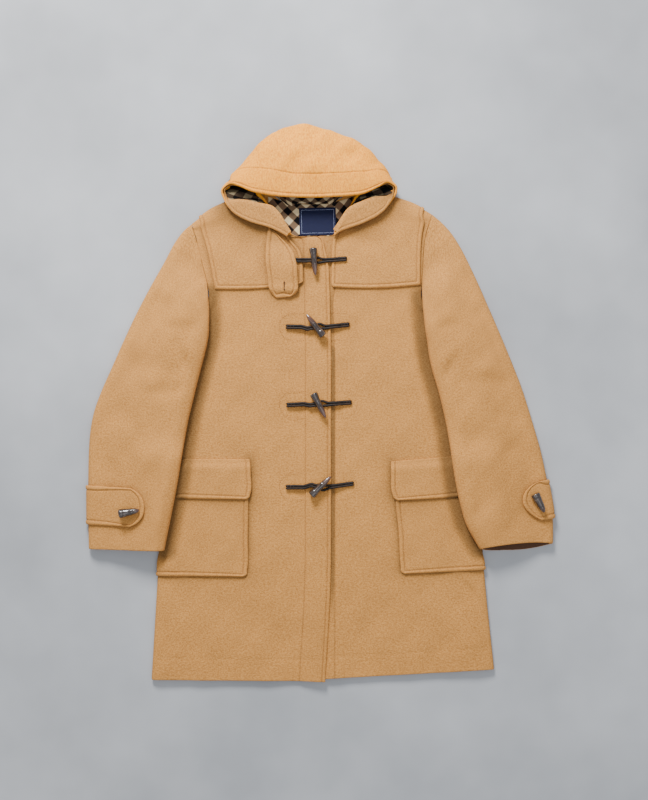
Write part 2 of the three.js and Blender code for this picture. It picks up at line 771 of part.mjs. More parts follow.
// Throat tab. Columns: left x, left y, right x, right y, height of its under side
const THROAT_TAB = [
  [-89, 195.5, -64, 199, 10.1],
  [-94, 202, -50, 202.5, 10.1],
  [-97, 211, -45, 209, 13.4],
  [-99.5, 226, -44, 224, 13.6],
  [-101, 240, -45, 240, 16],
  [-103, 256, -46, 254, 17.8],
  [-104, 268, -49, 268, 17.8],
  [-104, 283, -53, 280, 16.5],
  [-103, 300, -63, 294, 13.6],
  [-101, 316, -75, 306, 13.4],
  [-100, 328, -87, 318, 13.4],
];

function throatTab() {
  const grid = (over) =>
    THROAT_TAB.map(([lx, ly, rx, ry, z]) =>
      steps(4).map((t) => point(mix(lx, rx, t), mix(ly, ry, t), z + over)),
    );
  return wall(grid(CLOTH), grid(0));
}

// Front fastenings. Columns: right end x, y; left end x, y; toggle centre x, y; toggle turn
const FASTENINGS = [
  [-67, 266, 46, 268, -14.5, 265, -175],
  [-67, 143, 51, 147, -11, 142, 38],
  [-66, -2, 55, 3, -6, 0, -153],
  [-67, -154, 59, -147, -4, -153, -46],
];

// The cloth's height under a cord
function underCord(x, fastening) {
  if (fastening === 0) {
    return BODY_TOP + LIFT;
  }
  const climb = smooth(LAP.from - 20, LAP.from - 2, x) * (1 - smooth(21, 40, x));
  return BODY_TOP + LIFT * climb;
}

const CORD_SHARES = [0, 0.3, 0.55, 0.8];
const STRAND = CORD_R + SEAM / 2;
const CORD_ABOVE = CORD_R + SEAM;
const TOGGLE_ABOVE = 10.3;
const WRAP = TOGGLE_WAIST + SEAM + CORD_R + 0.1;

function turned(centre, dx, dy, angle) {
  const c = Math.cos(rad(angle));
  const s = Math.sin(rad(angle));
  return [centre[0] + dx * c - dy * s, centre[1] + dx * s + dy * c];
}

// The turn of the cord round the toggle, kept under a quarter turn
const cordTurn = (turn) => {
  const half = ((turn % 180) + 180) % 180;
  return half > 90 ? half - 180 : half;
};

// The cord that holds the toggle: over its waist and back under it
function holdingCord(row, index) {
  const [rx, ry, , , cx, cy, turn] = row;
  const angle = cordTurn(turn);
  const floor = underCord(cx, index);
  const middle = floor + TOGGLE_ABOVE;
  const near = (dx, dy, z) => point(...turned([cx, cy], dx, dy, angle), z);
  const far = (t, dy) => {
    const x = mix(rx, cx - 20, t);
    return point(x, mix(ry, cy, t) + dy, underCord(x, index) + CORD_ABOVE);
  };
  const path = [
    ...CORD_SHARES.map((t) => far(t, STRAND)),
    near(-15.5, 2.4, floor + 7.6),
    near(-9.4, 1.8, middle + 0.6),
    near(-5.4, 1.4, middle + WRAP * 0.78),
    near(0, 1, middle + WRAP * 1.05),
    near(5.6, 0.6, middle + WRAP * 0.75),
    near(WRAP + 0.4, 0, middle),
    near(5.6, -0.6, middle - WRAP * 0.75),
    near(0, -1, middle - WRAP),
    near(-6.5, -1.6, middle - WRAP * 0.88),
    near(-15.5, -2.4, floor + 7.6),
    ...[...CORD_SHARES].reverse().map((t) => far(t, -STRAND)),
  ];
  return cordAlong(path, 24);
}

function cordAlong(path, count) {
  const curve = new THREE.CatmullRomCurve3(path, false, "centripetal");
  const places = curve.getSpacedPoints(count);
  return bar(places, places.map(() => CORD_R), 5);
}

// The loop that the toggle is pushed through, lying round the holding cord
function loopCord(row, index) {
  const [, , lx, ly, cx, cy, turn] = row;
  const angle = cordTurn(turn);
  const level = underCord(cx, index) + CORD_ABOVE;
  const near = (dx, dy) => point(...turned([cx, cy], dx, dy, angle), level);
  const far = (t, dy) => {
    const x = mix(lx, cx + 17, t);
    return point(x, mix(ly, cy, t) + dy, underCord(x - 3, index) + CORD_ABOVE);
  };
  const path = [
    ...CORD_SHARES.map((t) => far(t, STRAND)),
    far(1, STRAND + 1),
    near(8, 6.2),
    near(-6, 6.2),
    near(-13.5, 3.6),
    near(-15.5, 0),
    near(-13.5, -3.6),
    near(-6, -6.2),
    near(8, -6.2),
    far(1, -STRAND - 1),
    ...[...CORD_SHARES].reverse().map((t) => far(t, -STRAND)),
  ];
  return cordAlong(path, 20);
}

// A horn toggle. Columns: place along it from the waist, radius
const TOGGLE = [
  [-22, 4.6],
  [-20.5, 6.4],
  [-14, 6.3],
  [-6.5, TOGGLE_WAIST],
  [0, TOGGLE_WAIST],
  [7, 5],
  [15, 4.1],
  [23, 2.9],
  [28, 1.4],
];
const CUFF_TOGGLE = [
  [-17, 5.6],
  [-15.5, 7.6],
  [-8, 7.2],
  [0, 5.6],
  [8, 6],
  [15, 4.4],
  [19, 2.2],
];

function toggle(rows, centre, z, turn) {
  const path = rows.map(([along]) => point(...turned(centre, 0, along, turn), z));
  return bar(path, rows.map(([, radius]) => radius), 8);
}

// Cuff toggles. Columns: centre x, y, turn
const CUFF_TOGGLE_RIGHT = [-353, -197, -80];
const CUFF_TOGGLE_LEFT = [398, -180, -153];

function cuffToggle(arm, [x, y, turn]) {
  const { k, w, width } = sleevePlace(arm, x, y);
  const end = SLEEVE_ROLL / width;
  const column = { end: "flat", across: (w - end) / (1 - 2 * end), angle: 90 };
  const base = sleevePoint(arm, k, column, LIFT + SEAM, 1);
  return toggle(CUFF_TOGGLE, [x, y], base.z + 8.4, turn);
}

// The whole coat
const root = new THREE.Group();
root.name = "duffle_coat";

function add(name, geometry, colour) {
  const rough = colour === COLOURS.horn ? 0.35 : 0.9;
  const mesh = new THREE.Mesh(geometry, new THREE.MeshStandardMaterial({ color: colour, roughness: rough }));
  mesh.name = name;
  root.add(mesh);
}

add("back", backPanel(), COLOURS.camel);
add("front_right", frontPanel(RIGHT, rightTop, true), COLOURS.camel);
add("front_left", frontPanel(LEFT, leftTop, false), COLOURS.camel);
add("yoke_right", yoke(RIGHT, YOKE_RIGHT, steps(5)), COLOURS.camel);
add("yoke_left", yoke(LEFT, YOKE_LEFT, steps(5)), COLOURS.camel);
add("sleeve_right_top", sleevePanel(ARM_RIGHT, 1), COLOURS.camel);
add("sleeve_right_under", sleevePanel(ARM_RIGHT, -1), COLOURS.camel);
add("sleeve_left_top", sleevePanel(ARM_LEFT, 1), COLOURS.camel);
add("sleeve_left_under", sleevePanel(ARM_LEFT, -1), COLOURS.camel);
add("cuff_lining_left", cuffLining(ARM_LEFT), COLOURS.cuff);
add("pocket_right", patch(RIGHT, POCKET_RIGHT, pocketLift, steps(3)), COLOURS.camel);
add("pocket_left", patch(LEFT, POCKET_LEFT, pocketLift, steps(3)), COLOURS.camel);
add("pocket_flap_right", patch(RIGHT, FLAP_RIGHT, flapLift, steps(3)), COLOURS.camel);
add("pocket_flap_left", patch(LEFT, FLAP_LEFT, flapLift, steps(3)), COLOURS.camel);
add("cuff_strap_right", strap(ARM_RIGHT, STRAP_RIGHT), COLOURS.camel);
add("cuff_strap_left", strap(ARM_LEFT, STRAP_LEFT), COLOURS.camel);
add("hood_shell", hoodShell(), COLOURS.hood);
add("hood_facing", hoodFacing(), COLOURS.camel);
add("hood_lining", hoodLining(), COLOURS.lining);
add("neck_lining", neckLining(), COLOURS.lining);
add("label", label(), COLOURS.label);
add("throat_tab", throatTab(), COLOURS.camel);
FASTENINGS.forEach((row, index) => {
  const number = index + 1;
  const level = underCord(row[4], index) + TOGGLE_ABOVE;
  add(`toggle_${number}`, toggle(TOGGLE, [row[4], row[5]], level, row[6]), COLOURS.horn);
  add(`cord_right_${number}`, holdingCord(row, index), COLOURS.cord);
  add(`cord_left_${number}`, loopCord(row, index), COLOURS.cord);
});
add("cuff_toggle_right", cuffToggle(ARM_RIGHT, CUFF_TOGGLE_RIGHT), COLOURS.horn);
add("cuff_toggle_left", cuffToggle(ARM_LEFT, CUFF_TOGGLE_LEFT), COLOURS.horn);

// The origin stands under the middle of the outline
const bounds = new THREE.Box3().setFromObject(root);
const middle = bounds.getCenter(new THREE.Vector3());
root.children.forEach((mesh) => mesh.geometry.translate(-middle.x, -middle.y, -bounds.min.z));

export default root;
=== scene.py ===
import math

import bpy
import numpy as np
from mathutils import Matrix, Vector


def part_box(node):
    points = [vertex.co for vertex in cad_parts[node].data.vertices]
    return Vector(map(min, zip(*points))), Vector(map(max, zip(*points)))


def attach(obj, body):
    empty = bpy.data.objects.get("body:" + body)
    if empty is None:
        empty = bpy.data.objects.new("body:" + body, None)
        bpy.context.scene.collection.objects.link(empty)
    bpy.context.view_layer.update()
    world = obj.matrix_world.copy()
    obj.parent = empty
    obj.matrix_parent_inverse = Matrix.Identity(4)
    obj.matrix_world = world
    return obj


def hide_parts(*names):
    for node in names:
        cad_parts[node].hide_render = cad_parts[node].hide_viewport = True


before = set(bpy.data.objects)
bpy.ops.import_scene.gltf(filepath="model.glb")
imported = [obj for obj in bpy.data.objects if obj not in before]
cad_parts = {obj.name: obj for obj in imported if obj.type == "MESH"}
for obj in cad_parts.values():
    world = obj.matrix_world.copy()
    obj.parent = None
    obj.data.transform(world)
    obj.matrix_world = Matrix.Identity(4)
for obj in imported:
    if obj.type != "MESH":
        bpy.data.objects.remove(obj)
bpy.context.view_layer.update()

# A hooded duffle coat laid flat on its back. Sizes are millimetres on the plan of the solids, the hem
# towards -Y. Right and left are those of the one who wears it: its right lies at -X.

# Driving sizes, the same as the solids'
CLOTH = 3.0
SEAM = 0.3
SEAM_HALF = 0.2
LIFT = CLOTH + SEAM
SIDE_R = 4.9
BODY_TOP = 2 * SIDE_R
LINING = 1.0
FACING = 2.0
ROLL_ANGLES = (0, 30, 60, 90)
CORD_R = 2.0
MM = 0.001

# Cloth details
EDGE_ROUND = 2.2
EDGE_PUFF = 1.1
GROOVE_DEPTH = 1.0
GROOVE_HALF = 1.15
STITCH_PITCH = 3.8
STITCH_LENGTH = 2.5
STITCH_R = 0.3
SEED = 7


# Small helpers
def mix(a, b, t):
    return a + (b - a) * t


def smooth(low, high, value):
    t = np.clip((np.asarray(value, float) - low) / (high - low), 0, 1)
    return t * t * (3 - 2 * t)


def steps(count, low=0.0, high=1.0):
    return [mix(low, high, i / count) for i in range(count + 1)]


def sine(degrees):
    return math.sin(math.radians(degrees))


def cosine(degrees):
    return math.cos(math.radians(degrees))


def read_smooth(table, at):
    """A table's row at a fractional row number, on a smooth curve through the rows."""
    last = len(table) - 1
    i = min(last - 1, max(0, math.floor(at)))
    t = at - i
    a, b, c, d = (np.array(table[k], float) for k in (max(0, i - 1), i, i + 1, min(last, i + 2)))
    out = (c - a) / 2
    into = (d - b) / 2
    rise = c - b
    return b + t * (out + t * (3 * rise - 2 * out - into + t * (out + into - 2 * rise)))


def spline(points, places):
    """Points at shares of a centripetal curve through the given points."""
    p = np.array(points, float)
    p = np.vstack([2 * p[0] - p[1], p, 2 * p[-1] - p[-2]])
    last = len(points) - 2
    at = np.clip(np.asarray(places, float), 0, 1) * (last + 1)
    i = np.minimum(np.floor(at).astype(int), last)
    t = (at - i)[:, None]
    x0, x1, x2, x3 = p[i], p[i + 1], p[i + 2], p[i + 3]
    d0, d1, d2 = (np.sqrt(np.linalg.norm(b - a, axis=1))[:, None] for a, b in ((x0, x1), (x1, x2), (x2, x3)))
    d1 = np.where(d1 < 1e-4, 1, d1)
    d0 = np.where(d0 < 1e-4, d1, d0)
    d2 = np.where(d2 < 1e-4, d1, d2)
    m1 = ((x1 - x0) / d0 - (x2 - x0) / (d0 + d1) + (x2 - x1) / d1) * d1
    m2 = ((x2 - x1) / d1 - (x3 - x1) / (d1 + d2) + (x3 - x2) / d2) * d1
    return x1 + t * (m1 + t * (3 * (x2 - x1) - 2 * m1 - m2 + t * (m1 + m2 - 2 * (x2 - x1))))


def even_points(line, count):
    """The same line with its points at even distances."""
    run = np.concatenate([[0], np.cumsum(np.linalg.norm(np.diff(line, axis=0), axis=1))])
    places = np.linspace(0, run[-1], count)
    return np.stack([np.interp(places, run, line[:, k]) for k in range(3)], axis=1)


# The solids stand under the middle of their outline: this is how far their plan was moved
LABEL = {"x": -8, "y": 338.5, "width": 68, "height": 51, "turn": 1.5, "thickness": 0.8}
label_low, label_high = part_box("label")
SHIFT = np.array([
    (label_low.x + label_high.x) / 2 / MM - LABEL["x"],
    (label_low.y + label_high.y) / 2 / MM - LABEL["y"],
    0,
])


# Meshes
def make_object(name, points, faces, material, nodes=(), uv=None, marks=None):
    mesh = bpy.data.meshes.new(name)
    mesh.from_pydata(((points + SHIFT) * MM).tolist(), [], faces)
    mesh.polygons.foreach_set("use_smooth", [True] * len(mesh.polygons))
    loops = np.empty(len(mesh.loops), int)
    mesh.loops.foreach_get("vertex_index", loops)
    if uv is not None:
        layer = mesh.uv_layers.new(name="grain")
        layer.data.foreach_set("uv", (uv[loops] * MM).ravel())
    for key, values in (marks or {}).items():
        attribute = mesh.attributes.new(key, "FLOAT", "POINT")
        attribute.data.foreach_set("value", values.astype(np.float32))
    mesh.materials.append(material)
    mesh.update()
    obj = bpy.data.objects.new(name, mesh)
    bpy.context.scene.collection.objects.link(obj)
    if nodes:
        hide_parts(*nodes)
    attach(obj, "root")
    return obj


def grid_faces(rows, columns, first=0, turned=False, closed=False):
    """Quads between the points of a grid, and between its last and first column if it is closed."""
    faces = []
    across = columns if closed else columns - 1
    for i in range(rows - 1):
        for j in range(across):
            k = (j + 1) % columns
            quad = [i * columns + j, i * columns + k, (i + 1) * columns + k, (i + 1) * columns + j]
            quad = [first + q for q in quad]
            faces.append(quad[::-1] if turned else quad)
    return faces


def shell_faces(rows, columns):
    """Faces of a closed shell: an outer grid, an inner grid and the strips round their edges."""
    far = rows * columns
    faces = grid_faces(rows, columns) + grid_faces(rows, columns, far, turned=True)
    ring = [j for j in range(columns)]
    ring += [i * columns + columns - 1 for i in range(1, rows)]
    ring += [(rows - 1) * columns + j for j in range(columns - 2, -1, -1)]
    ring += [i * columns for i in range(rows - 2, 0, -1)]
    for a, b in zip(ring, ring[1:] + ring[:1]):
        faces.append([b, a, far + a, far + b])
    return faces


def outward(points, faces):
    """The faces turned so that they look out of the form."""
    volume = 0.0
    for face in faces:
        a = points[face[0]]
        for k in range(1, len(face) - 1):
            volume += float(np.dot(a, np.cross(points[face[k]], points[face[k + 1]])))
    return [face[::-1] for face in faces] if volume < 0 else faces


# A cloth form: rows and columns of points on its outer face, read smoothly between them
def knots(grid):
    gaps = np.linalg.norm(np.diff(grid, axis=1), axis=2).mean(axis=0)
    return np.concatenate([[0], np.cumsum(np.maximum(gaps, 0.05))])


def spline_weights(places, value):
    last = len(places) - 1
    gap = np.diff(places)
    i = np.clip(np.searchsorted(places, value, side="right") - 1, 0, last - 1)
    h = gap[i]
    before = gap[np.maximum(i - 1, 0)]
    after = gap[np.minimum(i + 1, last - 1)]
    t = (value - places[i]) / h
    start, leave = (1 + 2 * t) * (1 - t) ** 2, t * (1 - t) ** 2
    end, arrive = t * t * (3 - 2 * t), t * t * (t - 1)
    a0 = np.where(i == 0, 1.0, before / (before + h))
    a1 = np.where(i == last - 1, 1.0, after / (h + after))
    back = leave * (1 - a0) * h / before
    ahead = arrive * (1 - a1) * h / after
    own = leave * a0 + arrive * a1
    weights = (-back, start - own + back, end + own - ahead, ahead)
    index = (np.maximum(i - 1, 0), i, i + 1, np.minimum(i + 2, last))
    return index, weights


class Form:
    def __init__(self, grid):
        self.top = np.array(grid(0.0), float)
        self.low = np.array(grid(-1.0), float)
        self.across = knots(self.top)
        self.along = knots(self.top.swapaxes(0, 1))

    def at(self, a, b, off=0.0):
        """Points at places a across and b along, some way out from the outer face."""
        a, b = np.broadcast_arrays(a, b)
        columns, wa = spline_weights(self.across, a)
        rows, wb = spline_weights(self.along, b)
        place = 0.0
        below = 0.0
        for r in range(4):
            for c in range(4):
                weight = (wb[r] * wa[c])[..., None]
                place = place + weight * self.top[rows[r], columns[c]]
                below = below + weight * self.low[rows[r], columns[c]]
        return place + (place - below) * np.asarray(off)[..., None]


# Edges of a cloth piece: how it ends there, and how far in its lines of stitching run
ROUND_STEPS = (0, 0.15, 0.5, 1.1, EDGE_ROUND, 4.0)
PLAIN_STEPS = (0, 1.0)


class Edge:
    def __init__(self, finish="plain", stitches=(), seams=()):
        self.finish = finish
        self.stitches = stitches
        self.seams = seams
        found = set(ROUND_STEPS if finish == "round" else PLAIN_STEPS)
        for line in (*stitches, *seams):
            found |= {line - 3.2, line - 1.8, line - 0.9, line, line + 0.9, line + 1.8, line + 3.2}
        self.steps = sorted(step for step in found if step >= 0)


PLAIN = Edge()


def marks_between(low, high, length, spacing):
    """Places in one direction, each as a fixed distance and a share of the whole length."""
    first, last = low.steps[-1], high.steps[-1]
    count = max(2, math.ceil(max(length - first - last, spacing) / spacing))
    near = [(d, 0.0) for d in low.steps]
    middle = [(first - s * (first + last), s) for s in steps(count)[1:-1]]
    far = [(-d, 1.0) for d in reversed(high.steps)]
    return np.array(near + middle + far)


def runs(points):
    gaps = np.linalg.norm(np.diff(points, axis=1), axis=2)
    return np.concatenate([np.zeros((len(points), 1)), np.cumsum(gaps, axis=1)], axis=1)


def spread(form, edges, spacing):
    """Lays lines over a form at true distances from its edges."""
    fine = np.linspace(0, 1, 301)
    width, length = form.across[-1], form.along[-1]
    middle_row = runs(form.at(fine[None, :] * width, np.full((1, 1), length / 2)))[0]
    middle_column = runs(form.at(np.full((1, 1), width / 2), fine[None, :] * length))[0]
    across = marks_between(edges["left"], edges["right"], middle_row[-1], spacing)
    along = marks_between(edges["low"], edges["high"], middle_column[-1], spacing)

    def place(marks, run):
        reach = -marks[:, 0].min() + marks[marks[:, 1] == 0, 0].max()
        fit = min(1.0, run[-1] / (reach + 1.0))
        return marks[:, 0] * fit + marks[:, 1] * run[-1]

    a_named = np.interp(place(across, middle_row), middle_row, fine * width)
    b_named = np.interp(place(along, middle_column), middle_column, fine * length)
    row_runs = runs(form.at(fine[None, :] * width, b_named[:, None]))
    column_runs = runs(form.at(a_named[:, None], fine[None, :] * length))
    from_left = np.array([place(across, run) for run in row_runs])
    from_low = np.array([place(along, run) for run in column_runs]).T
    a = np.array([np.interp(at, run, fine * width) for at, run in zip(from_left, row_runs)])
    b = np.array([np.interp(at, run, fine * length) for at, run in zip(from_low.T, column_runs)]).T
    return {
        "a": a,
        "b": b,
        "left": from_left,
        "right": row_runs[:, -1:] - from_left,
        "low": from_low,
        "high": column_runs[:, -1][None, :] - from_low,
        "size": (row_runs[:, -1].max(), column_runs[:, -1].max()),
    }


def nearest(lay, edges, chosen):
    """The distance to the nearest of the edges that are chosen."""
    found = np.full(lay["a"].shape, 1e6)
    for side, edge in edges.items():
        if chosen(edge):
            found = np.minimum(found, lay[side])
    return found


def line_places(lay, edges, side, distance):
    """The grid points of one line of stitching that runs at a distance inside an edge."""
    rows, columns = lay["a"].shape

    def index(name, count):
        if distance not in edges[name].stitches:
            return 0 if name in ("left", "low") else count - 1
        k = edges[name].steps.index(distance)
        return k if name in ("left", "low") else count - 1 - k

    i0, i1 = index("low", rows), index("high", rows)
    j0, j1 = index("left", columns), index("right", columns)
    if side in ("left", "right"):
        j = j0 if side == "left" else j1
        return np.arange(i0, i1 + 1), np.full(i1 + 1 - i0, j)
    i = i0 if side == "low" else i1
    return np.full(j1 + 1 - j0, i), np.arange(j0, j1 + 1)


def cloth(name, form, look, edges=None, spacing=4.0, thickness=CLOTH, relief=None,
          nodes=None, keep=None, thread=None, level=0.0, shade=None):
    """A cloth piece as a thin shell on its form, with rounded edges, grooves and lines of stitching."""
    edges = {side: (edges or {}).get(side, PLAIN) for side in ("left", "right", "low", "high")}
    lay = spread(form, edges, spacing)
    plan = form.at(lay["a"], lay["b"], 0.0)
    free = nearest(lay, edges, lambda edge: edge.finish == "round")
    swell = np.sqrt(np.clip(1 - (1 - np.minimum(free, EDGE_ROUND) / EDGE_ROUND) ** 2, 0.004, 1))
    half = thickness / 2 * swell
    groove = np.zeros(free.shape)
    puff = np.zeros(free.shape)
    lines = sorted({line for edge in edges.values() for line in edge.stitches})
    for line in lines:
        away = nearest(lay, edges, lambda edge, line=line: line in edge.stitches)
        groove += np.exp(-(((away - line) / GROOVE_HALF) ** 2))
        if line < 14:
            puff += np.where(away < line, np.sin(np.pi * np.clip(away / line, 0, 1)), 0)
    for line in sorted({line for edge in edges.values() for line in edge.seams}):
        away = nearest(lay, edges, lambda edge, line=line: line in edge.seams)
        groove += 1.25 * np.exp(-(((away - line) / GROOVE_HALF) ** 2))
    if keep is not None:
        shown = keep(lay, plan)
        groove = groove * shown
    wave = np.zeros(free.shape) if relief is None else relief(plan[..., 0], plan[..., 1], lay)
    scale = thickness / CLOTH
    middle = level - thickness / 2 + wave
    top = middle + half + scale * (EDGE_PUFF * puff - GROOVE_DEPTH * groove)
    low = middle - half
    outer = form.at(lay["a"], lay["b"], top)
    inner = form.at(lay["a"], lay["b"], low)
    outer[..., 2] = np.maximum(outer[..., 2], 0)
    rows, columns = lay["a"].shape
    points = np.concatenate([outer.reshape(-1, 3), inner.reshape(-1, 3)])
    uv = np.stack([lay["a"], lay["b"]], axis=-1).reshape(-1, 2)
    # Painted shade: the seam mark darkens the colour in stitched grooves, and the shade mark darkens it beside
    # raised edges
    seam = np.clip(groove, 0, 1).ravel()
    worn = np.exp(-free / 1.6).ravel()
    dim = np.zeros(worn.shape) if shade is None else shade(plan[..., 0], plan[..., 1]).ravel()
    both = {
        "seam": np.concatenate([seam, seam * 0]),
        "worn": np.concatenate([worn, worn]),
        "shade": np.concatenate([dim, dim]),
    }
    faces = outward(points, shell_faces(rows, columns))
    obj = make_object(name, points, faces, look, [name] if nodes is None else nodes,
                      np.concatenate([uv, uv]), both)
    size = [value * MM for value in lay["size"]]
    if thread is not None:
        stitched = []
        for line in lines:
            for side, edge in edges.items():
                if line in edge.stitches:
                    i, j = line_places(lay, edges, side, line)
                    in_sight = None if keep is None else shown[i, j]
                    stitched.append((outer[i, j], form_normal(form, lay, i, j), in_sight))
        sew(f"stitching_{name}", stitched, thread)
    return obj, lay, outer


def form_normal(form, lay, i, j):
    a, b = lay["a"][i, j], lay["b"][i, j]
    out = form.at(a, b, 1.0) - form.at(a, b, 0.0)
    return out / np.linalg.norm(out, axis=1)[:, None]


# Stitching: each stitch is a short thread that lies in its groove
def stitch_points(centre, way, out, length=STITCH_LENGTH, radius=STITCH_R):
    side = np.cross(way, out)
    rings = []
    for along, share in ((-0.5, 0.45), (-0.28, 1.0), (0.28, 1.0), (0.5, 0.45)):
        drop = -0.35 * (2 * along) ** 2
        ring_centre = centre + way * along * length + out * drop
        rings.append([ring_centre + (side * s + out * o) * radius * share
                      for s, o in ((1, 0), (0, 1), (-1, 0), (0, -1))])
    return np.array(rings).reshape(-1, 3)


STITCH_FACES = [face for face in grid_faces(4, 4, closed=True)] + [[3, 2, 1, 0], [12, 13, 14, 15]]


def sew(name, lines, material, pitch=STITCH_PITCH, raised=0.25, length=STITCH_LENGTH, radius=STITCH_R,
        slot="wool"):
    random = np.random.default_rng(SEED)
    points = []
    faces = []
    for line, out, shown in lines:
        run = np.concatenate([[0], np.cumsum(np.linalg.norm(np.diff(line, axis=0), axis=1))])
        count = int(run[-1] / pitch)
        places = (np.arange(count) + 0.5) * run[-1] / max(count, 1)
        for place in places:
            here = np.array([np.interp(place, run, line[:, k]) for k in range(3)])
            ahead = np.array([np.interp(place + 0.6, run, line[:, k]) for k in range(3)])
            back = np.array([np.interp(place - 0.6, run, line[:, k]) for k in range(3)])
            if shown is not None and np.interp(place, run, shown) < 0.5:
                continue
            way = (ahead - back) / max(np.linalg.norm(ahead - back), 1e-6)
            up = np.array([np.interp(place, run, out[:, k]) for k in range(3)])
            up = up - way * np.dot(way, up)
            up = up / max(np.linalg.norm(up), 1e-6)
            sway = np.cross(way, up) * random.normal(0, 0.12)
            size = length * random.uniform(0.9, 1.05)
            first = len(points) * 16
            points.append(stitch_points(here + up * raised + sway, way, up, size, radius))
            faces += [[first + q for q in face] for face in STITCH_FACES]
    if points:
        return make_object(name, np.concatenate(points), faces, material)
    return None


def sew_on_top(name, paths, height, material, **kinds):
    """Stitches along paths on the plan, on top of a cloth of a known height."""
    lines = []
    for path in paths:
        flat = even_points(np.array([[x, y, 0.0] for x, y in path]), 60)
        flat[:, 2] = height(flat[:, 0], flat[:, 1])
        lines.append((flat, np.tile([0.0, 0.0, 1.0], (len(flat), 1)), None))
    return sew(name, lines, material, **kinds)


# Soft relief. Columns: start x, y; end x, y; bow; half width; depth
def creases(table, x, y):
    total = np.zeros(np.shape(x))
    for x1, y1, x2, y2, bow, width, depth in table:
        run = math.hypot(x2 - x1, y2 - y1)
        tx, ty = (x2 - x1) / run, (y2 - y1) / run
        share = ((x - x1) * tx + (y - y1) * ty) / run
        inside = np.clip(share, 0, 1)
        side = -(x - x1) * ty + (y - y1) * tx - bow * 4 * inside * (1 - inside)
        fade = np.sin(np.pi * inside) ** 0.8 * ((share > 0) & (share < 1))
        q = side / width
        total -= depth * fade * (np.exp(-(q**2)) - 0.6 * np.exp(-((q - 1.9) ** 2) / 1.4))
    return total


# Gentle waves of the cloth. Columns: waves per metre in x and y, height, phase
WAVES = (
    (8, 2, 0.50, 0.3),
    (4, 10, 0.36, 1.9),
    (13, -7, 0.30, 4.1),
    (-10, 14, 0.22, 2.2),
    (20, 9, 0.13, 0.9),
    (24, -22, 0.10, 3.3),
)


def undulation(x, y):
    total = 0
    for across, along, height, phase in WAVES:
        total = total + height * np.sin(2 * np.pi * (across * x + along * y) * MM + phase)
    return total


# Node groups for the materials
def group(name, inputs, outputs):
    tree = bpy.data.node_groups.new(name, "ShaderNodeTree")
    for label, kind, value in inputs:
        socket = tree.interface.new_socket(name=label, in_out="INPUT", socket_type=kind)
        if value is not None:
            socket.default_value = value
    for label, kind in outputs:
        tree.interface.new_socket(name=label, in_out="OUTPUT", socket_type=kind)
    return tree, tree.nodes.new("NodeGroupInput"), tree.nodes.new("NodeGroupOutput")


def add_node(tree, kind, links=(), **values):
    """A node with its settings, and its inputs linked or set by name."""
    made = tree.nodes.new(kind)
    for key, value in values.items():
        setattr(made, key, value)
    for socket, source in dict(links).items():
        if isinstance(source, bpy.types.NodeSocket):
            tree.links.new(source, made.inputs[socket])
        else:
            made.inputs[socket].default_value = source
    return made


def maths(tree, operation, a, b=None):
    links = {0: a} if b is None else {0: a, 1: b}
    return add_node(tree, "ShaderNodeMath", links, operation=operation).outputs[0]


def blend_colours(tree, factor, a, b, mode="MIX"):
    made = add_node(tree, "ShaderNodeMix", {0: factor, 6: a, 7: b}, data_type="RGBA", blend_type=mode)
    return made.outputs[2]


def spread_range(tree, value, low, high, to_low=0.0, to_high=1.0):
    made = add_node(tree, "ShaderNodeMapRange", {0: value, 1: low, 2: high, 3: to_low, 4: to_high})
    return made.outputs[0]


FLOAT = "NodeSocketFloat"
COLOUR = "NodeSocketColor"
VECTOR = "NodeSocketVector"


def noise(tree, vector, scale, detail=2.0, rough=0.5, distortion=0.0):
    links = {"Vector": vector, "Scale": scale, "Detail": detail, "Roughness": rough, "Distortion": distortion}
    return add_node(tree, "ShaderNodeTexNoise", links).outputs["Fac"]


def wool_group():
    """Brushed wool: speckle of the fibres, soft patches, and a height for its nap."""
    inputs = [("Vector", VECTOR, None), ("Scale", FLOAT, 1.0)]
    outputs = [("Speckle", FLOAT), ("Patches", FLOAT), ("Height", FLOAT)]
    tree, given, out = group("brushed_wool", inputs, outputs)
    scaled = add_node(tree, "ShaderNodeVectorMath", {0: given.outputs["Vector"]}, operation="SCALE")
    tree.links.new(given.outputs["Scale"], scaled.inputs["Scale"])
    vector = scaled.outputs[0]
    fibre = noise(tree, vector, 1100.0, 3.0, 0.65, 0.6)
    curl = noise(tree, vector, 620.0, 3.0, 0.65, 0.4)
    tuft = noise(tree, vector, 300.0, 2.0, 0.55)
    speckle = maths(tree, "ADD", maths(tree, "MULTIPLY", fibre, 0.22), maths(tree, "MULTIPLY", curl, 0.54))
    speckle = maths(tree, "ADD", speckle, maths(tree, "MULTIPLY", tuft, 0.24))
    patches = maths(tree, "ADD", maths(tree, "MULTIPLY", noise(tree, vector, 9.0, 3.0, 0.55), 0.6),
                    maths(tree, "MULTIPLY", noise(tree, vector, 34.0, 2.0, 0.5), 0.4))
    height = maths(tree, "ADD", maths(tree, "MULTIPLY", speckle, 0.7), maths(tree, "MULTIPLY", tuft, 0.5))
    tree.links.new(speckle, out.inputs["Speckle"])
    tree.links.new(patches, out.inputs["Patches"])
    tree.links.new(height, out.inputs["Height"])
    return tree


# What is left of a cloth's red, green and blue where its painted shade is full, beside raised edges and in
# folds
DEEP_SHADE = (0.36, 0.39, 0.46, 1.0)


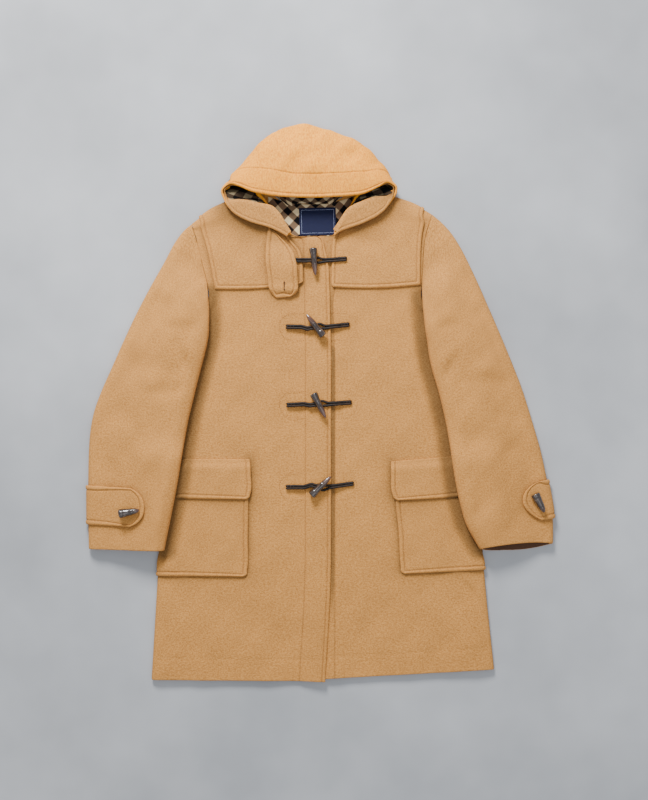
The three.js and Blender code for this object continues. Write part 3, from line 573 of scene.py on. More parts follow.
def tone_group():
    """Cloth colour from its speckle, patches, painted shade in stitched grooves, worn edges and painted shade
    beside raised edges.
    """
    inputs = [("Base", COLOUR, (0.5, 0.4, 0.3, 1)), ("Light", COLOUR, (0.6, 0.5, 0.4, 1)),
              ("Speckle", FLOAT, 0.5), ("Patches", FLOAT, 0.5), ("Seam", FLOAT, 0.0), ("Worn", FLOAT, 0.0),
              ("Shade", FLOAT, 0.0)]
    tree, given, out = group("cloth_tone", inputs, [("Color", COLOUR)])
    base, light = given.outputs["Base"], given.outputs["Light"]
    speckle = spread_range(tree, given.outputs["Speckle"], 0.43, 0.57)
    colour = blend_colours(tree, speckle, base, light)
    soft = spread_range(tree, given.outputs["Patches"], 0.36, 0.64, 0.93, 1.06)
    toned = add_node(tree, "ShaderNodeVectorMath", {0: colour}, operation="SCALE")
    tree.links.new(soft, toned.inputs["Scale"])
    # Painted shade: the colour darkens by up to a fifth in stitched grooves
    seam = spread_range(tree, given.outputs["Seam"], 0.0, 1.0, 1.0, 0.8)
    sunk = add_node(tree, "ShaderNodeVectorMath", {0: toned.outputs[0]}, operation="SCALE")
    tree.links.new(seam, sunk.inputs["Scale"])
    worn = blend_colours(tree, maths(tree, "MULTIPLY", given.outputs["Worn"], 0.22), sunk.outputs[0], light)
    # Painted shade: the shade mark pulls the colour towards DEEP_SHADE
    shade = blend_colours(tree, given.outputs["Shade"], (1.0, 1.0, 1.0, 1.0), DEEP_SHADE)
    dimmed = add_node(tree, "ShaderNodeVectorMath", {0: worn, 1: shade}, operation="MULTIPLY")
    tree.links.new(dimmed.outputs[0], out.inputs["Color"])
    return tree


def use_group(tree, made, **links):
    found = tree.nodes.new("ShaderNodeGroup")
    found.node_tree = made
    for label, source in links.items():
        if isinstance(source, bpy.types.NodeSocket):
            tree.links.new(source, found.inputs[label])
        else:
            found.inputs[label].default_value = source
    return found


def new_material(name):
    material = bpy.data.materials.new(name)
    material.use_nodes = True
    tree = material.node_tree
    return material, tree, tree.nodes["Principled BSDF"]


def linear(red, green, blue):
    """A colour given as it looks on a screen, from 0 to 255, in the values that a shader takes."""
    found = []
    for value in (red, green, blue):
        v = value / 255
        found.append(v / 12.92 if v <= 0.04045 else ((v + 0.055) / 1.055) ** 2.4)
    return (*found, 1.0)


def grain(tree):
    return add_node(tree, "ShaderNodeUVMap", uv_map="grain").outputs[0]


def mark(tree, name):
    return add_node(tree, "ShaderNodeAttribute", attribute_name=name).outputs["Fac"]


def set_bump(tree, shader, height, strength, distance):
    bump = add_node(tree, "ShaderNodeBump", {"Height": height, "Strength": strength, "Distance": distance})
    tree.links.new(bump.outputs[0], shader.inputs["Normal"])


WOOL_GROUP = wool_group()
TONE_GROUP = tone_group()


def wool(name, base, light, sheen=0.14, scale=1.0):
    material, tree, shader = new_material(name)
    cloth_look = use_group(tree, WOOL_GROUP, Vector=grain(tree), Scale=scale)
    tone = use_group(tree, TONE_GROUP, Base=linear(*base), Light=linear(*light),
                     Speckle=cloth_look.outputs["Speckle"], Patches=cloth_look.outputs["Patches"],
                     Seam=mark(tree, "seam"), Worn=mark(tree, "worn"), Shade=mark(tree, "shade"))
    tree.links.new(tone.outputs["Color"], shader.inputs["Base Color"])
    rough = spread_range(tree, cloth_look.outputs["Patches"], 0.3, 0.7, 0.86, 0.97)
    tree.links.new(rough, shader.inputs["Roughness"])
    shader.inputs["Sheen Weight"].default_value = sheen
    shader.inputs["Sheen Roughness"].default_value = 0.45
    shader.inputs["Sheen Tint"].default_value = linear(250, 226, 196)
    shader.inputs["Specular IOR Level"].default_value = 0.18
    set_bump(tree, shader, cloth_look.outputs["Height"], 0.55, 0.0011)
    return material


def check_lining():
    """A plain two-colour gingham on the slant: dark where bands cross, tan where one lies alone."""
    material, tree, shader = new_material("check_lining")
    turned = add_node(tree, "ShaderNodeMapping", {"Vector": grain(tree), "Rotation": (0, 0, math.radians(45))})
    split = add_node(tree, "ShaderNodeSeparateXYZ", {0: turned.outputs[0]})
    bands = []
    for axis in (0, 1):
        wave = maths(tree, "FRACT", maths(tree, "DIVIDE", split.outputs[axis], CHECK["repeat"] * MM))
        away = maths(tree, "ABSOLUTE", maths(tree, "SUBTRACT", wave, 0.5))
        bands.append(spread_range(tree, away, 0.235, 0.265))
    weave = use_group(tree, WOOL_GROUP, Vector=grain(tree), Scale=1.4)
    one = blend_colours(tree, bands[0], linear(*CHECK["cream"]), linear(*CHECK["tan"]))
    both = blend_colours(tree, bands[0], linear(*CHECK["tan"]), linear(*CHECK["dark"]))
    colour = blend_colours(tree, bands[1], one, both)
    fuzz_and_shade = spread_range(tree, weave.outputs["Speckle"], 0.3, 0.7, 0.8, 1.12)
    # Painted shade: the shade mark darkens the check under the hood's lip and inside its tips
    fuzz_and_shade = maths(tree, "MULTIPLY", fuzz_and_shade, spread_range(tree, mark(tree, "shade"), 0.0, 1.0, 1.0, 0.12))
    toned = add_node(tree, "ShaderNodeVectorMath", {0: colour}, operation="SCALE")
    tree.links.new(fuzz_and_shade, toned.inputs["Scale"])
    tree.links.new(toned.outputs[0], shader.inputs["Base Color"])
    shader.inputs["Roughness"].default_value = 0.95
    shader.inputs["Specular IOR Level"].default_value = 0.15
    set_bump(tree, shader, weave.outputs["Height"], 0.5, 0.0007)
    return material


CHECK = {"repeat": 25.0, "cream": (216, 194, 152), "tan": (112, 90, 70), "dark": (14, 12, 15)}


def woven(name, colour, rib_scale, contrast=0.25, rough=0.6):
    """A fine ribbed weave, as on a label or a sleeve lining."""
    material, tree, shader = new_material(name)
    vector = grain(tree)
    rib = add_node(tree, "ShaderNodeTexWave", {"Vector": vector, "Scale": rib_scale, "Distortion": 0.6},
                   bands_direction="Y").outputs["Fac"]
    soft = noise(tree, vector, 160.0, 3.0, 0.6)
    tone = spread_range(tree, maths(tree, "ADD", rib, soft), 0.4, 1.5, 1 - contrast, 1 + contrast)
    toned = add_node(tree, "ShaderNodeVectorMath", {0: linear(*colour)[:3]}, operation="SCALE")
    tree.links.new(tone, toned.inputs["Scale"])
    tree.links.new(toned.outputs[0], shader.inputs["Base Color"])
    shader.inputs["Roughness"].default_value = rough
    shader.inputs["Specular IOR Level"].default_value = 0.2
    set_bump(tree, shader, rib, 0.4, 0.0003)
    return material


def thread_look(name, colour):
    material, tree, shader = new_material(name)
    where = add_node(tree, "ShaderNodeTexCoord").outputs["Object"]
    twist = noise(tree, where, 2200.0, 2.0, 0.6)
    tone = spread_range(tree, twist, 0.3, 0.7, 0.78, 1.15)
    toned = add_node(tree, "ShaderNodeVectorMath", {0: linear(*colour)[:3]}, operation="SCALE")
    tree.links.new(tone, toned.inputs["Scale"])
    tree.links.new(toned.outputs[0], shader.inputs["Base Color"])
    shader.inputs["Roughness"].default_value = 0.7
    return material


def horn_look():
    """Polished horn: pale and dark streaks that run along it, and a redder tip."""
    material, tree, shader = new_material("horn")
    vector = grain(tree)
    stretched = add_node(tree, "ShaderNodeMapping", {"Vector": vector, "Scale": (1.0, 0.16, 1.0)}).outputs[0]
    streak = noise(tree, stretched, 420.0, 4.0, 0.6, 0.8)
    cloud = noise(tree, vector, 70.0, 3.0, 0.55)
    share = spread_range(tree, maths(tree, "ADD", maths(tree, "MULTIPLY", streak, 0.65),
                                     maths(tree, "MULTIPLY", cloud, 0.35)), 0.36, 0.66)
    ramp = add_node(tree, "ShaderNodeValToRGB", {0: share})
    stops = ramp.color_ramp.elements
    stops[0].color = linear(24, 17, 16)
    stops[1].color = linear(122, 108, 96)
    stops.new(0.55).color = linear(50, 39, 35)
    along = add_node(tree, "ShaderNodeSeparateXYZ", {0: vector}).outputs[1]
    tip = spread_range(tree, along, 0.026, 0.05, 0.0, 0.7)
    colour = blend_colours(tree, tip, ramp.outputs[0], linear(112, 72, 58))
    tree.links.new(colour, shader.inputs["Base Color"])
    rough = spread_range(tree, streak, 0.3, 0.7, 0.14, 0.34)
    tree.links.new(rough, shader.inputs["Roughness"])
    shader.inputs["Coat Weight"].default_value = 0.8
    shader.inputs["Coat Roughness"].default_value = 0.12
    set_bump(tree, shader, streak, 0.25, 0.0004)
    return material


def leather_look():
    material, tree, shader = new_material("cord")
    vector = grain(tree)
    pores = noise(tree, vector, 900.0, 3.0, 0.6)
    wear = noise(tree, vector, 120.0, 3.0, 0.6)
    worn = spread_range(tree, wear, 0.45, 0.75)
    colour = blend_colours(tree, worn, linear(20, 14, 12), linear(62, 44, 32))
    tree.links.new(colour, shader.inputs["Base Color"])
    shader.inputs["Specular IOR Level"].default_value = 0.3
    rough = spread_range(tree, wear, 0.3, 0.7, 0.5, 0.75)
    tree.links.new(rough, shader.inputs["Roughness"])
    set_bump(tree, shader, pores, 0.5, 0.0004)
    return material


def floor_look():
    material, tree, shader = new_material("floor")
    where = add_node(tree, "ShaderNodeTexCoord").outputs["Object"]
    cloud = noise(tree, where, 2.2, 4.0, 0.6)
    share = spread_range(tree, cloud, 0.35, 0.65)
    colour = blend_colours(tree, share, linear(*FLOOR["dark"]), linear(*FLOOR["light"]))
    tree.links.new(colour, shader.inputs["Base Color"])
    shader.inputs["Roughness"].default_value = 0.9
    shader.inputs["Specular IOR Level"].default_value = 0.2
    return material


FLOOR = {"dark": (160, 163, 168), "light": (184, 187, 192), "size": 8.0}

BODY_WOOL = wool("wool_body", (172, 116, 55), (210, 151, 82), sheen=0.08)
# The hood's shell is the body's wool made lighter and more saturated: painted light for the brighter light that
# falls on the hood
HOOD_WOOL_LIT = wool("wool_hood_lit", (222, 136, 36), (254, 174, 58), sheen=0.05)
CHECK_LOOK = check_lining()
CUFF_LOOK = woven("cuff_lining", (84, 56, 38), 420.0)
LABEL_LOOK = woven("label", (10, 17, 52), 500.0, 0.22)
BORDER_LOOK = thread_look("label_border", (150, 160, 190))
THREAD = thread_look("thread", (150, 100, 50))
DARK_THREAD = thread_look("dark_thread", (60, 42, 32))
HORN = horn_look()
LEATHER = leather_look()

# Fronts. Columns: outer x, outer y, inner x, inner y, side roll from 0 to 1
FRONT_RIGHT = [
    [-316, -511, 6, -514, 1],
    [-305, -326, 16, -326, 1],
    [-296, -178, 17, -178, 1],
    [-287, -30, 17, -30, 1],
    [-278, 100, 17, 100, 1],
    [-244, 146, 16, 146, 1],
    [-210, 198, 15, 198, 0.4],
    [-213, 226, 14, 226, 0],
    [-219, 250, 13, 250, 0],
    [-227, 281, 7, 280, 0],
    [-233, 308, -6, 309, 0],
    [-235, 313, -48, 311, 0],
    [-238, 321, -72, 332, 0],
]
FRONT_LEFT = [
    [319, -492, -26, -511, 1],
    [302, -326, -26, -326, 1],
    [291, -178, -26, -178, 1],
    [276, -30, -26, -30, 1],
    [263, 90, -26, 100, 1],
    [224, 146, -26, 146, 1],
    [185, 196, -26, 196, 0.4],
    [185, 226, -26, 226, 0],
    [186.5, 257, -26, 250, 0],
    [189, 294, -24, 284, 0],
    [192, 312, -12, 309, 0],
    [195, 324, 20, 313, 0],
    [199, 336, 32, 334, 0],
]
ARMHOLE_FROM = 6
SHOULDER_RIGHT = {"tip": (-242, 333), "neck": (-111, 390), "bow": 11}
SHOULDER_LEFT = {"tip": (204, 351), "neck": (67, 396), "bow": 8}
RIGHT = {"sign": 1, "front": FRONT_RIGHT, "shoulder": SHOULDER_RIGHT}
LEFT = {"sign": -1, "front": FRONT_LEFT, "shoulder": SHOULDER_LEFT}
LAP = {"from": -34, "to": -27}


def shoulder_point(side, along):
    tip, neck, bow = side["shoulder"]["tip"], side["shoulder"]["neck"], side["shoulder"]["bow"]
    rise = bow * math.sin(math.pi * along**0.85)
    return mix(tip[0], neck[0], along), mix(tip[1], neck[1], along) + rise


def shoulder_inward(side):
    tip, neck = side["shoulder"]["tip"], side["shoulder"]["neck"]
    run = math.hypot(neck[0] - tip[0], neck[1] - tip[1])
    rx, ry = (neck[0] - tip[0]) / run, (neck[1] - tip[1]) / run
    return (ry, -rx) if side["sign"] > 0 else (-ry, rx)


def side_x(side, y):
    rows = side["front"]
    for low, high in zip(rows[:ARMHOLE_FROM], rows[1 : ARMHOLE_FROM + 1]):
        if y <= high[1]:
            return mix(low[0], high[0], (y - low[1]) / (high[1] - low[1]))
    return rows[ARMHOLE_FROM][0]


def right_top(x):
    return BODY_TOP + LIFT * min(1, max(0, (x - LAP["from"]) / (LAP["to"] - LAP["from"])))


def left_top(x):
    return BODY_TOP


def rolled_side(side, edge, y, angle, off):
    radius = SIDE_R + off
    x = edge + side["sign"] * (SIDE_R - radius * cosine(angle))
    gap = SEAM_HALF if angle == 0 else 0
    return [x, y, SIDE_R + radius * sine(angle) + gap]


def rolled_shoulder(side, along, angle, off, upper=1):
    x, y = shoulder_point(side, along)
    nx, ny = shoulder_inward(side)
    radius = SIDE_R + off
    inward = SIDE_R - radius * cosine(angle)
    gap = SEAM_HALF if angle == 0 else 0
    return [x + nx * inward, y + ny * inward, SIDE_R + upper * (radius * sine(angle) + gap)]


def front_columns(side, outer, inner, laps):
    start = outer + side["sign"] * SIDE_R
    if not laps:
        return [mix(start, inner, t) for t in steps(4)[1:]]
    foot = min(LAP["from"], mix(start, inner, 0.86))
    head = min(LAP["to"], mix(start, inner, 0.9))
    return [mix(start, foot, t) for t in steps(4)[1:]] + [head, inner]


def front_grid(side, top, laps):
    def grid(off):
        rows = []
        for ox, oy, ix, iy, roll in side["front"]:
            shift = side["sign"] * SEAM_HALF if roll < 1 else 0
            row = []
            for k, angle in enumerate(ROLL_ANGLES):
                x = ox + shift + side["sign"] * SIDE_R * k / 3
                plain = np.array([x, oy, top(x) + off])
                row.append(mix(plain, np.array(rolled_side(side, ox, oy, angle, off)), roll))
            for x in front_columns(side, ox, ix, laps):
                row.append([x, mix(oy, iy, (x - ox) / (ix - ox)), top(x) + off])
            rows.append(row)
        near = [t * SIDE_R / 131 + 0.002 for t in (0, 1 / 3, 2 / 3, 1)]
        shares = [0.22, 0.43, 0.65, 0.86, 0.93, 1] if laps else steps(4)[1:]
        for angle in reversed(ROLL_ANGLES):
            places = near + [mix(near[3], 1, t) for t in shares]
            rows.append([rolled_shoulder(side, along, angle, off) for along in places])
        return rows

    return grid


# Yokes. Columns: outer x, outer y, inner x, inner y
YOKE_RIGHT = [
    [-198, 212, -42, 222],
    [-198.6, 216, -36, 225],
    [-201, 230, -35, 235],
    [-205, 252, -36, 262],
    [-212, 285, -42, 284],
    [-218, 305, -56.5, 302],
    [-221, 315, -67, 319],
    [-223, 323, -74, 333],
]
YOKE_LEFT = [
    [182, 220, 20, 216],
    [182, 226, 17.5, 222],
    [182, 240, 17.5, 236],
    [182, 262, 17.5, 262],
    [183, 290, 18.5, 288],
    [185, 312, 20.5, 305],
    [187, 324, 24, 314],
    [189, 333, 34, 335],
]
YOKE_SHOULDER = 0.11
YOKE_DIP = 4


def yoke_grid(side, rows):
    across = steps(5)

    def grid(off):
        made = []
        for i, (ox, oy, ix, iy) in enumerate(rows):
            row = []
            for t in across:
                dip = YOKE_DIP * math.sin(math.pi * t) * (1 - i / 3) if i < 3 else 0
                row.append([mix(ox, ix, t), mix(oy, iy, t) - dip, BODY_TOP + LIFT + off])
            made.append(row)
        for angle in reversed(ROLL_ANGLES):
            made.append([rolled_shoulder(side, mix(YOKE_SHOULDER, 1, t), angle, LIFT + off) for t in across])
        return made

    return grid


# The back: places along each shoulder, and the neck line between them
BACK_SHOULDER = (0.06, 0.3, 0.6, 0.9, 1)
NECK_LINE = ((-103, 392), (-91, 388), (-79, 378.5), (-24, 369.5), (10, 371.5), (35, 382), (50, 395))
HEM_DIP = 9


def top_places():
    right = [(RIGHT, along, shoulder_point(RIGHT, along)) for along in BACK_SHOULDER]
    neck = [(None, 0, place) for place in NECK_LINE]
    left = [(LEFT, along, shoulder_point(LEFT, along)) for along in reversed(BACK_SHOULDER)]
    return right + neck + left


def back_grid(off):
    places = top_places()
    first, last = places[0][2][0], places[-1][2][0]
    shares = [(place[2][0] - first) / (last - first) for place in places[1:-1]]
    rows = []
    for i, (right, left) in enumerate(zip(FRONT_RIGHT, FRONT_LEFT)):
        roll = right[4]
        hem = 1 if i == 0 else 0

        def line(x):
            t = (x - right[0]) / (left[0] - right[0])
            return mix(right[1], left[1], t) - HEM_DIP * hem * math.sin(math.pi * t) + 2 * hem

        def edge(side, row):
            made = []
            for k, angle in enumerate(ROLL_ANGLES):
                radius = SIDE_R + off
                shift = SEAM_HALF if roll < 1 else 0
                x = row[0] + side["sign"] * (SIDE_R - radius * cosine(angle))
                gap = SEAM_HALF if angle == 0 else 0
                rolled = np.array([x, line(row[0]), SIDE_R - radius * sine(angle) - gap])
                plain = np.array([row[0] + side["sign"] * (shift + SIDE_R * k / 3), line(row[0]), -off])
                made.append(mix(plain, rolled, roll))
            return made

        start, end = right[0] + SIDE_R, left[0] - SIDE_R
        flat = [[mix(start, end, t), line(mix(start, end, t)), -off] for t in shares]
        rows.append(edge(RIGHT, right) + flat + edge(LEFT, left)[::-1])
    near = (0.002, 0.02, 0.04)
    ends = [(RIGHT, along, None) for along in near], [(LEFT, along, None) for along in reversed(near)]
    for angle in reversed(ROLL_ANGLES):
        row = []
        for side, along, place in ends[0] + places + ends[1]:
            if side:
                row.append(rolled_shoulder(side, along, angle, off, -1))
            else:
                row.append([place[0], place[1] - SIDE_R * angle / 90, -off])
        rows.append(row)
    return rows


# Patch pockets and flaps. Columns: y at the side seam, inner x, inner y
POCKET_RIGHT = [
    [-318, -146, -319],
    [-313, -140, -316],
    [-304, -138, -305],
    [-250, -137, -250],
    [-180, -136, -180],
    [-117, -136, -117],
]
POCKET_LEFT = [
    [-307, 152, -314],
    [-303, 147, -311],
    [-296, 145.5, -300],
    [-240, 142, -240],
    [-180, 136, -182],
    [-112, 135, -121],
]
FLAP_RIGHT = [
    [-174, -140, -176],
    [-170, -135, -173],
    [-163, -132, -165],
    [-130, -131.5, -130],
    [-116, -132, -116],
    [-106, -133, -107],
    [-102, -134, -102],
]
FLAP_LEFT = [
    [-170, 140, -178],
    [-166, 134, -175],
    [-158, 130, -166],
    [-126, 127.5, -133],
    [-111, 127.5, -119],
    [-99, 127.5, -110],
    [-94, 128, -106],
]
PATCH_ANGLES = (25, 50, 90)


def pocket_lift(row):
    return SEAM


def flap_lift(row):
    return LIFT + SEAM if row < 5 else SEAM


def patch_grid(side, rows, lift):
    def grid(off):
        made = []
        for i, (side_y, ix, iy) in enumerate(rows):
            over = lift(i) + CLOTH + off
            edge = side_x(side, side_y)
            row = [rolled_side(side, edge, side_y, angle, over) for angle in PATCH_ANGLES]
            for t in steps(3)[1:]:
                x = mix(edge + side["sign"] * SIDE_R, ix, t)
                row.append([x, mix(side_y, iy, t), BODY_TOP + over])
            made.append(row)
        return made

    return grid


# Sleeves. Columns: outer x, outer y, inner x, inner y
SLEEVE_RIGHT = [
    [-242, 333, -210, 198],
    [-265, 311, -208, 172],
    [-290, 266, -208, 150],
    [-323, 207, -209, 126],
    [-353, 148, -215, 98],
    [-383, 81, -228, 48],
    [-410, 20, -240, -2],
    [-426, -30, -250, -46],
    [-432, -90, -259, -104],
    [-433, -150, -268, -158],
    [-433, -208, -279, -214],
    [-432, -268, -290, -269],
]
SLEEVE_LEFT = [
    [204, 351, 185, 196],
    [231, 327, 187, 170],
    [257, 289, 190, 140],
    [287, 228, 195, 108],
    [318, 157, 201, 70],
    [344, 96, 212, 34],
    [372, 24, 224.5, -16],
    [390, -34, 233, -58],
    [405, -86, 240.5, -112],
    [417, -143, 251, -170],
    [427, -202, 265.5, -222],
    [428, -258, 290, -266],
]
ARM_RIGHT = {"side": RIGHT, "rows": SLEEVE_RIGHT, "on_patch": (-72, -96), "cuff": None}
ARM_LEFT = {"side": LEFT, "rows": SLEEVE_LEFT, "on_patch": (-62, -88), "cuff": (290, 138, -6, 9)}
SLEEVE_ROLL = 7
SLEEVE_BULGE = 3.6
REST = {"full": 8, "none": 40}
SLEEVE_STATIONS = (0, 0.6, 1.3, 2, 2.8, 3.6, 4.4, 5.2, 6, 6.7, 7.3, 8, 8.6, 9.3, 10, 10.6, 11)


def outside_body(side, x, y):
    """How far a place lies outside the body's side line."""
    rows = side["front"]
    if y <= rows[ARMHOLE_FROM][1] and side["sign"] * (x - side_x(side, y)) >= 0:
        return 0
    best = 1e6
    for low, high in zip(rows[:ARMHOLE_FROM], rows[1 : ARMHOLE_FROM + 1]):
        dx, dy = high[0] - low[0], high[1] - low[1]
        t = min(1, max(0, ((x - low[0]) * dx + (y - low[1]) * dy) / (dx * dx + dy * dy)))
        best = min(best, math.hypot(x - low[0] - t * dx, y - low[1] - t * dy))
    return best


def rest_height(arm, x, y, reach):
    share = 1 - smooth(REST["full"], REST["full"] + reach, outside_body(arm["side"], x, y))
    first, last = arm["on_patch"]
    on_patch = smooth(-first, -last, -y)
    return share * (BODY_TOP + SEAM + 2 * LIFT * on_patch)


def armhole_bow(arm, w):
    rows = arm["side"]["front"]
    line = [row[:2] for row in rows[ARMHOLE_FROM:]] + [arm["side"]["shoulder"]["tip"]]
    ox, oy = line[-1]
    ix, iy = line[0]
    y = mix(oy, iy, w)
    x = ix
    for low, high in zip(line, line[1:]):
        if y >= low[1]:
            x = mix(low[0], high[0], (y - low[1]) / (high[1] - low[1]))
    return x - mix(ox, ix, w)


def sleeve_point(arm, k, end, across, angle, off, upper):
    ox, oy, ix, iy = read_smooth(arm["rows"], k)
    width = math.hypot(ix - ox, iy - oy)
    early = float(1 - smooth(0, 2.5, k))
    roll = mix(SLEEVE_ROLL, SIDE_R, early)
    inset = (roll - (roll + off) * cosine(angle)) / width
    start = roll / width
    w = {"outer": inset, "inner": 1 - inset, "flat": mix(start, 1 - start, across)}[end]
    inside = min(1, max(0, w))
    bow = armhole_bow(arm, inside) * float(1 - smooth(0, 2, k))
    x = mix(ox, ix, w) + bow - (arm["side"]["sign"] * SEAM_HALF if k == 0 else 0)
    y = mix(oy, iy, w)
    reach = REST["none"] - REST["full"]
    low = rest_height(arm, x, y, reach)
    wide = rest_height(arm, x, y, mix(90, reach, early))
    belly = SLEEVE_BULGE * math.sin(math.pi * inside) ** 0.8
    first_half = mix(SIDE_R, 3.3, float(smooth(0.6, 1, w)))
    half = mix(SLEEVE_ROLL + belly, first_half, early)
    top = wide + 2 * half
    tall = (top - low) / 2 + off
    gap = SEAM_HALF if angle == 0 else 0
    return [x, y, (top + low) / 2 + upper * (tall * sine(angle) + gap)]


def sleeve_columns(arm, k):
    ox, oy, ix, iy = read_smooth(arm["rows"], k)
    width = math.hypot(ix - ox, iy - oy)

    def climb(distance):
        for w in steps(200):
            if outside_body(arm["side"], mix(ox, ix, w), mix(oy, iy, w)) <= distance:
                return w
        return 1

    end = SLEEVE_ROLL / width
    head = min(0.93, (climb(REST["full"]) - end) / (1 - 2 * end))
    foot = min(head - 0.08, (climb(REST["none"]) - end) / (1 - 2 * end))
    across = (foot * 0.36, foot * 0.7, foot, mix(foot, head, 0.5), head)
    outer = [("outer", 0, angle) for angle in ROLL_ANGLES]
    inner = [("inner", 0, angle) for angle in reversed(ROLL_ANGLES)]
    return outer + [("flat", w, 90) for w in across] + inner


def cuff_shift(arm, x, k, upper):
    """The left cuff stands open: its under side reaches further than its top."""
    if arm["cuff"] is None:
        return 0
    start, width, above, below = arm["cuff"]
    across = min(1, max(0, (x - start) / width))
    return float(smooth(10, 11, k)) * (above if upper > 0 else below) * math.sin(math.pi * across) ** 0.7


def sleeve_grid(arm, upper, stations=SLEEVE_STATIONS, trim=0, height=0.0):
    def grid(off):
        made = []
        for k in stations:
            columns = sleeve_columns(arm, k)
            row = []
            for end, across, angle in columns[trim : len(columns) - trim]:
                if trim:
                    x, y, z = sleeve_point(arm, k, end, across, angle, 0, upper)
                    z += height + off
                else:
                    x, y, z = sleeve_point(arm, k, end, across, angle, off, upper)
                row.append([x, y - cuff_shift(arm, x, k, upper), z])
            made.append(row)
        return made

    return grid


def sleeve_place(arm, x, y):
    """The sleeve's row and the way across it for a place on the plan."""
    k, w = 9.5, 0.3
    for _ in range(30):
        ox, oy, ix, iy = read_smooth(arm["rows"], k)
        w = (x - ox) / (ix - ox)
        k += (mix(oy, iy, w) - y) / 60
    row = read_smooth(arm["rows"], k)
    return k, w, abs(row[2] - row[0])


# Cuff straps. Columns: y, x of the strap's end on the sleeve
STRAP_RIGHT = [[-225, -352], [-220, -341], [-211, -331], [-189, -324.5], [-168, -331], [-160, -339],
               [-154, -350]]
STRAP_LEFT = [[-214, 404], [-208, 392], [-197, 378], [-176, 368.5], [-158, 376], [-148, 388], [-142, 402]]
STRAP_GAP = 0.9


def strap_grid(arm, rows):
    def grid(off):
        over = STRAP_GAP + CLOTH + off
        made = []
        for y, tip in rows:
            k, w, width = sleeve_place(arm, tip, y)
            end = SLEEVE_ROLL / width
            row = [sleeve_point(arm, k, "outer", 0, angle, over, 1) for angle in ROLL_ANGLES]
            for t in (0.3, 0.65, 1):
                across = (mix(end, w, t) - end) / (1 - 2 * end)
                row.append(sleeve_point(arm, k, "flat", across, 90, over, 1))
            made.append(row)
        return made

    return grid


# Hood. Columns: edge x, y, z; fold x, y, z; neck x, y, z; height at the low point; rise of the crown;
# how much of its usual reach the facing has
HOOD = [
    [-64, 309, 17.2, -60, 315, 19, -58.5, 312, 13.5, 15, 0, 0.86],
    [-80, 318, 17.2, -69, 329, 20, -72, 327, 13.5, 16, 0, 0.86],
    [-102, 327, 17.2, -82, 350, 21.5, -85.5, 348, 13.5, 17, 0, 0.86],
    [-117, 331, 17.2, -92, 360, 22, -94, 357.5, 13.5, 17, 0, 0.86],
    [-135, 337, 17.2, -119, 367, 22.5, -101, 370, 13.5, 15, 0, 0.86],
    [-153.5, 346, 17.2, -138, 372, 22.5, -105, 377, 13.5, 14.5, 0, 0.86],
    [-166, 355, 18, -152, 373, 21.5, -109, 382, 13.5, 14, 0, 0.86],
    [-176.5, 366.5, 20, -168, 374, 18, -113, 387.5, 13.6, 14, 0, 0.86],
    [-183, 382, 23, -182, 385, 16, -113, 395.5, 13.5, 14, 0, 0.86],
    [-184.5, 394, 26, -185, 399, 9.5, -109, 398, 0, 0, 0, 0.6],
    [-172, 403.5, 30, -178, 412, 10, -101, 397.5, 0, 0, 3, 0.36],
    [-153.5, 398.5, 33, -155, 435, 10, -91, 391.5, 0, 0, 10, 0.34],
    [-130.6, 389, 34, -134, 464, 10, -79, 381.5, 0, 0, 12, 0.24],
    [-87, 380.5, 35, -82, 507, 10, -60, 375.5, 0, 0, 13, 0.19],
    [-28, 377.5, 35, -30, 517, 10, -24, 371, 0, 0, 13, 0.17],
    [28, 379, 35, 28, 502, 10, 8, 373.5, 0, 0, 13, 0.18],
    [75, 384, 34.5, 82, 474, 10, 34, 385, 0, 0, 12, 0.22],
    [104, 397, 33.5, 110, 446, 10, 47, 396, 0, 0, 10, 0.32],
    [122, 407, 31, 129, 419, 10, 57, 402.5, 0, 0, 3, 0.36],
    [136, 400, 27, 137.5, 407, 9.5, 65, 404, 0, 0, 0, 0.6],
    [137, 388, 23.5, 136, 392, 16, 69, 401.5, 13.5, 14, 0, 0.86],
    [129, 374, 20, 121, 381, 18, 68, 392.5, 13.6, 14, 0, 0.86],
    [117, 359.5, 18, 111, 379, 21.5, 65, 387.5, 13.5, 14, 0, 0.86],
    [103.6, 348, 17.2, 96, 378, 22.5, 61, 382, 13.5, 14.5, 0, 0.86],
    [85, 337.6, 17.2, 72, 369, 22.5, 56, 372, 13.5, 15, 0, 0.86],
    [69, 330.6, 17.2, 51, 358, 22, 49, 356, 13.5, 17, 0, 0.86],
    [46, 323, 17.2, 40, 343, 21, 38, 340.5, 13.5, 17, 0, 0.86],
    [32, 317.5, 17.2, 32, 329.5, 20, 30, 326, 13.5, 16, 0, 0.86],
    [21, 311, 17.2, 25, 319, 19, 25, 316, 13.5, 15, 0, 0.86],
]
HOOD_LAST = len(HOOD) - 1
LOW_SHARE = 0.3
YOKE_TOP = BODY_TOP + LIFT
ON_YOKES = 8
HOOD_STATIONS = sorted([*range(len(HOOD)), 12.5, 13.5, 14.5, 15.5])
SHELL_SHARES = (0, 0.05, 0.1, 0.2, 0.3, 0.4, 0.5, 0.6, 0.7, 0.8, 0.9, 1)
FACING_SHARES = (0, 0.05, 0.1, 0.2, 0.3, 0.4, 0.5, 0.6, 0.7)
FACING_GAP = 1.3
LINING_FROM = 0.8


def on_yokes(at):
    return at <= ON_YOKES or at >= HOOD_LAST - ON_YOKES


def hood_points(at, shares):
    """Places on one rib of the hood, from its edge over the fold to the neck seam."""
    row = read_smooth(HOOD, at)
    edge, fold, neck = row[0:3], row[3:6], row[6:9]
    rise = row[10]
    first = mix(edge, fold, 1 / 3) + (0, 0, 0.9 * rise)
    second = mix(edge, fold, 2 / 3) + (0, 0, rise)
    low = mix(fold, neck, LOW_SHARE)
    low[2] = row[9]
    found = spline([edge, first, second, fold, low, neck], shares)
    floor = YOKE_TOP + SEAM if on_yokes(at) else 0
    found[:, 2] = np.maximum(floor, found[:, 2])
    return found


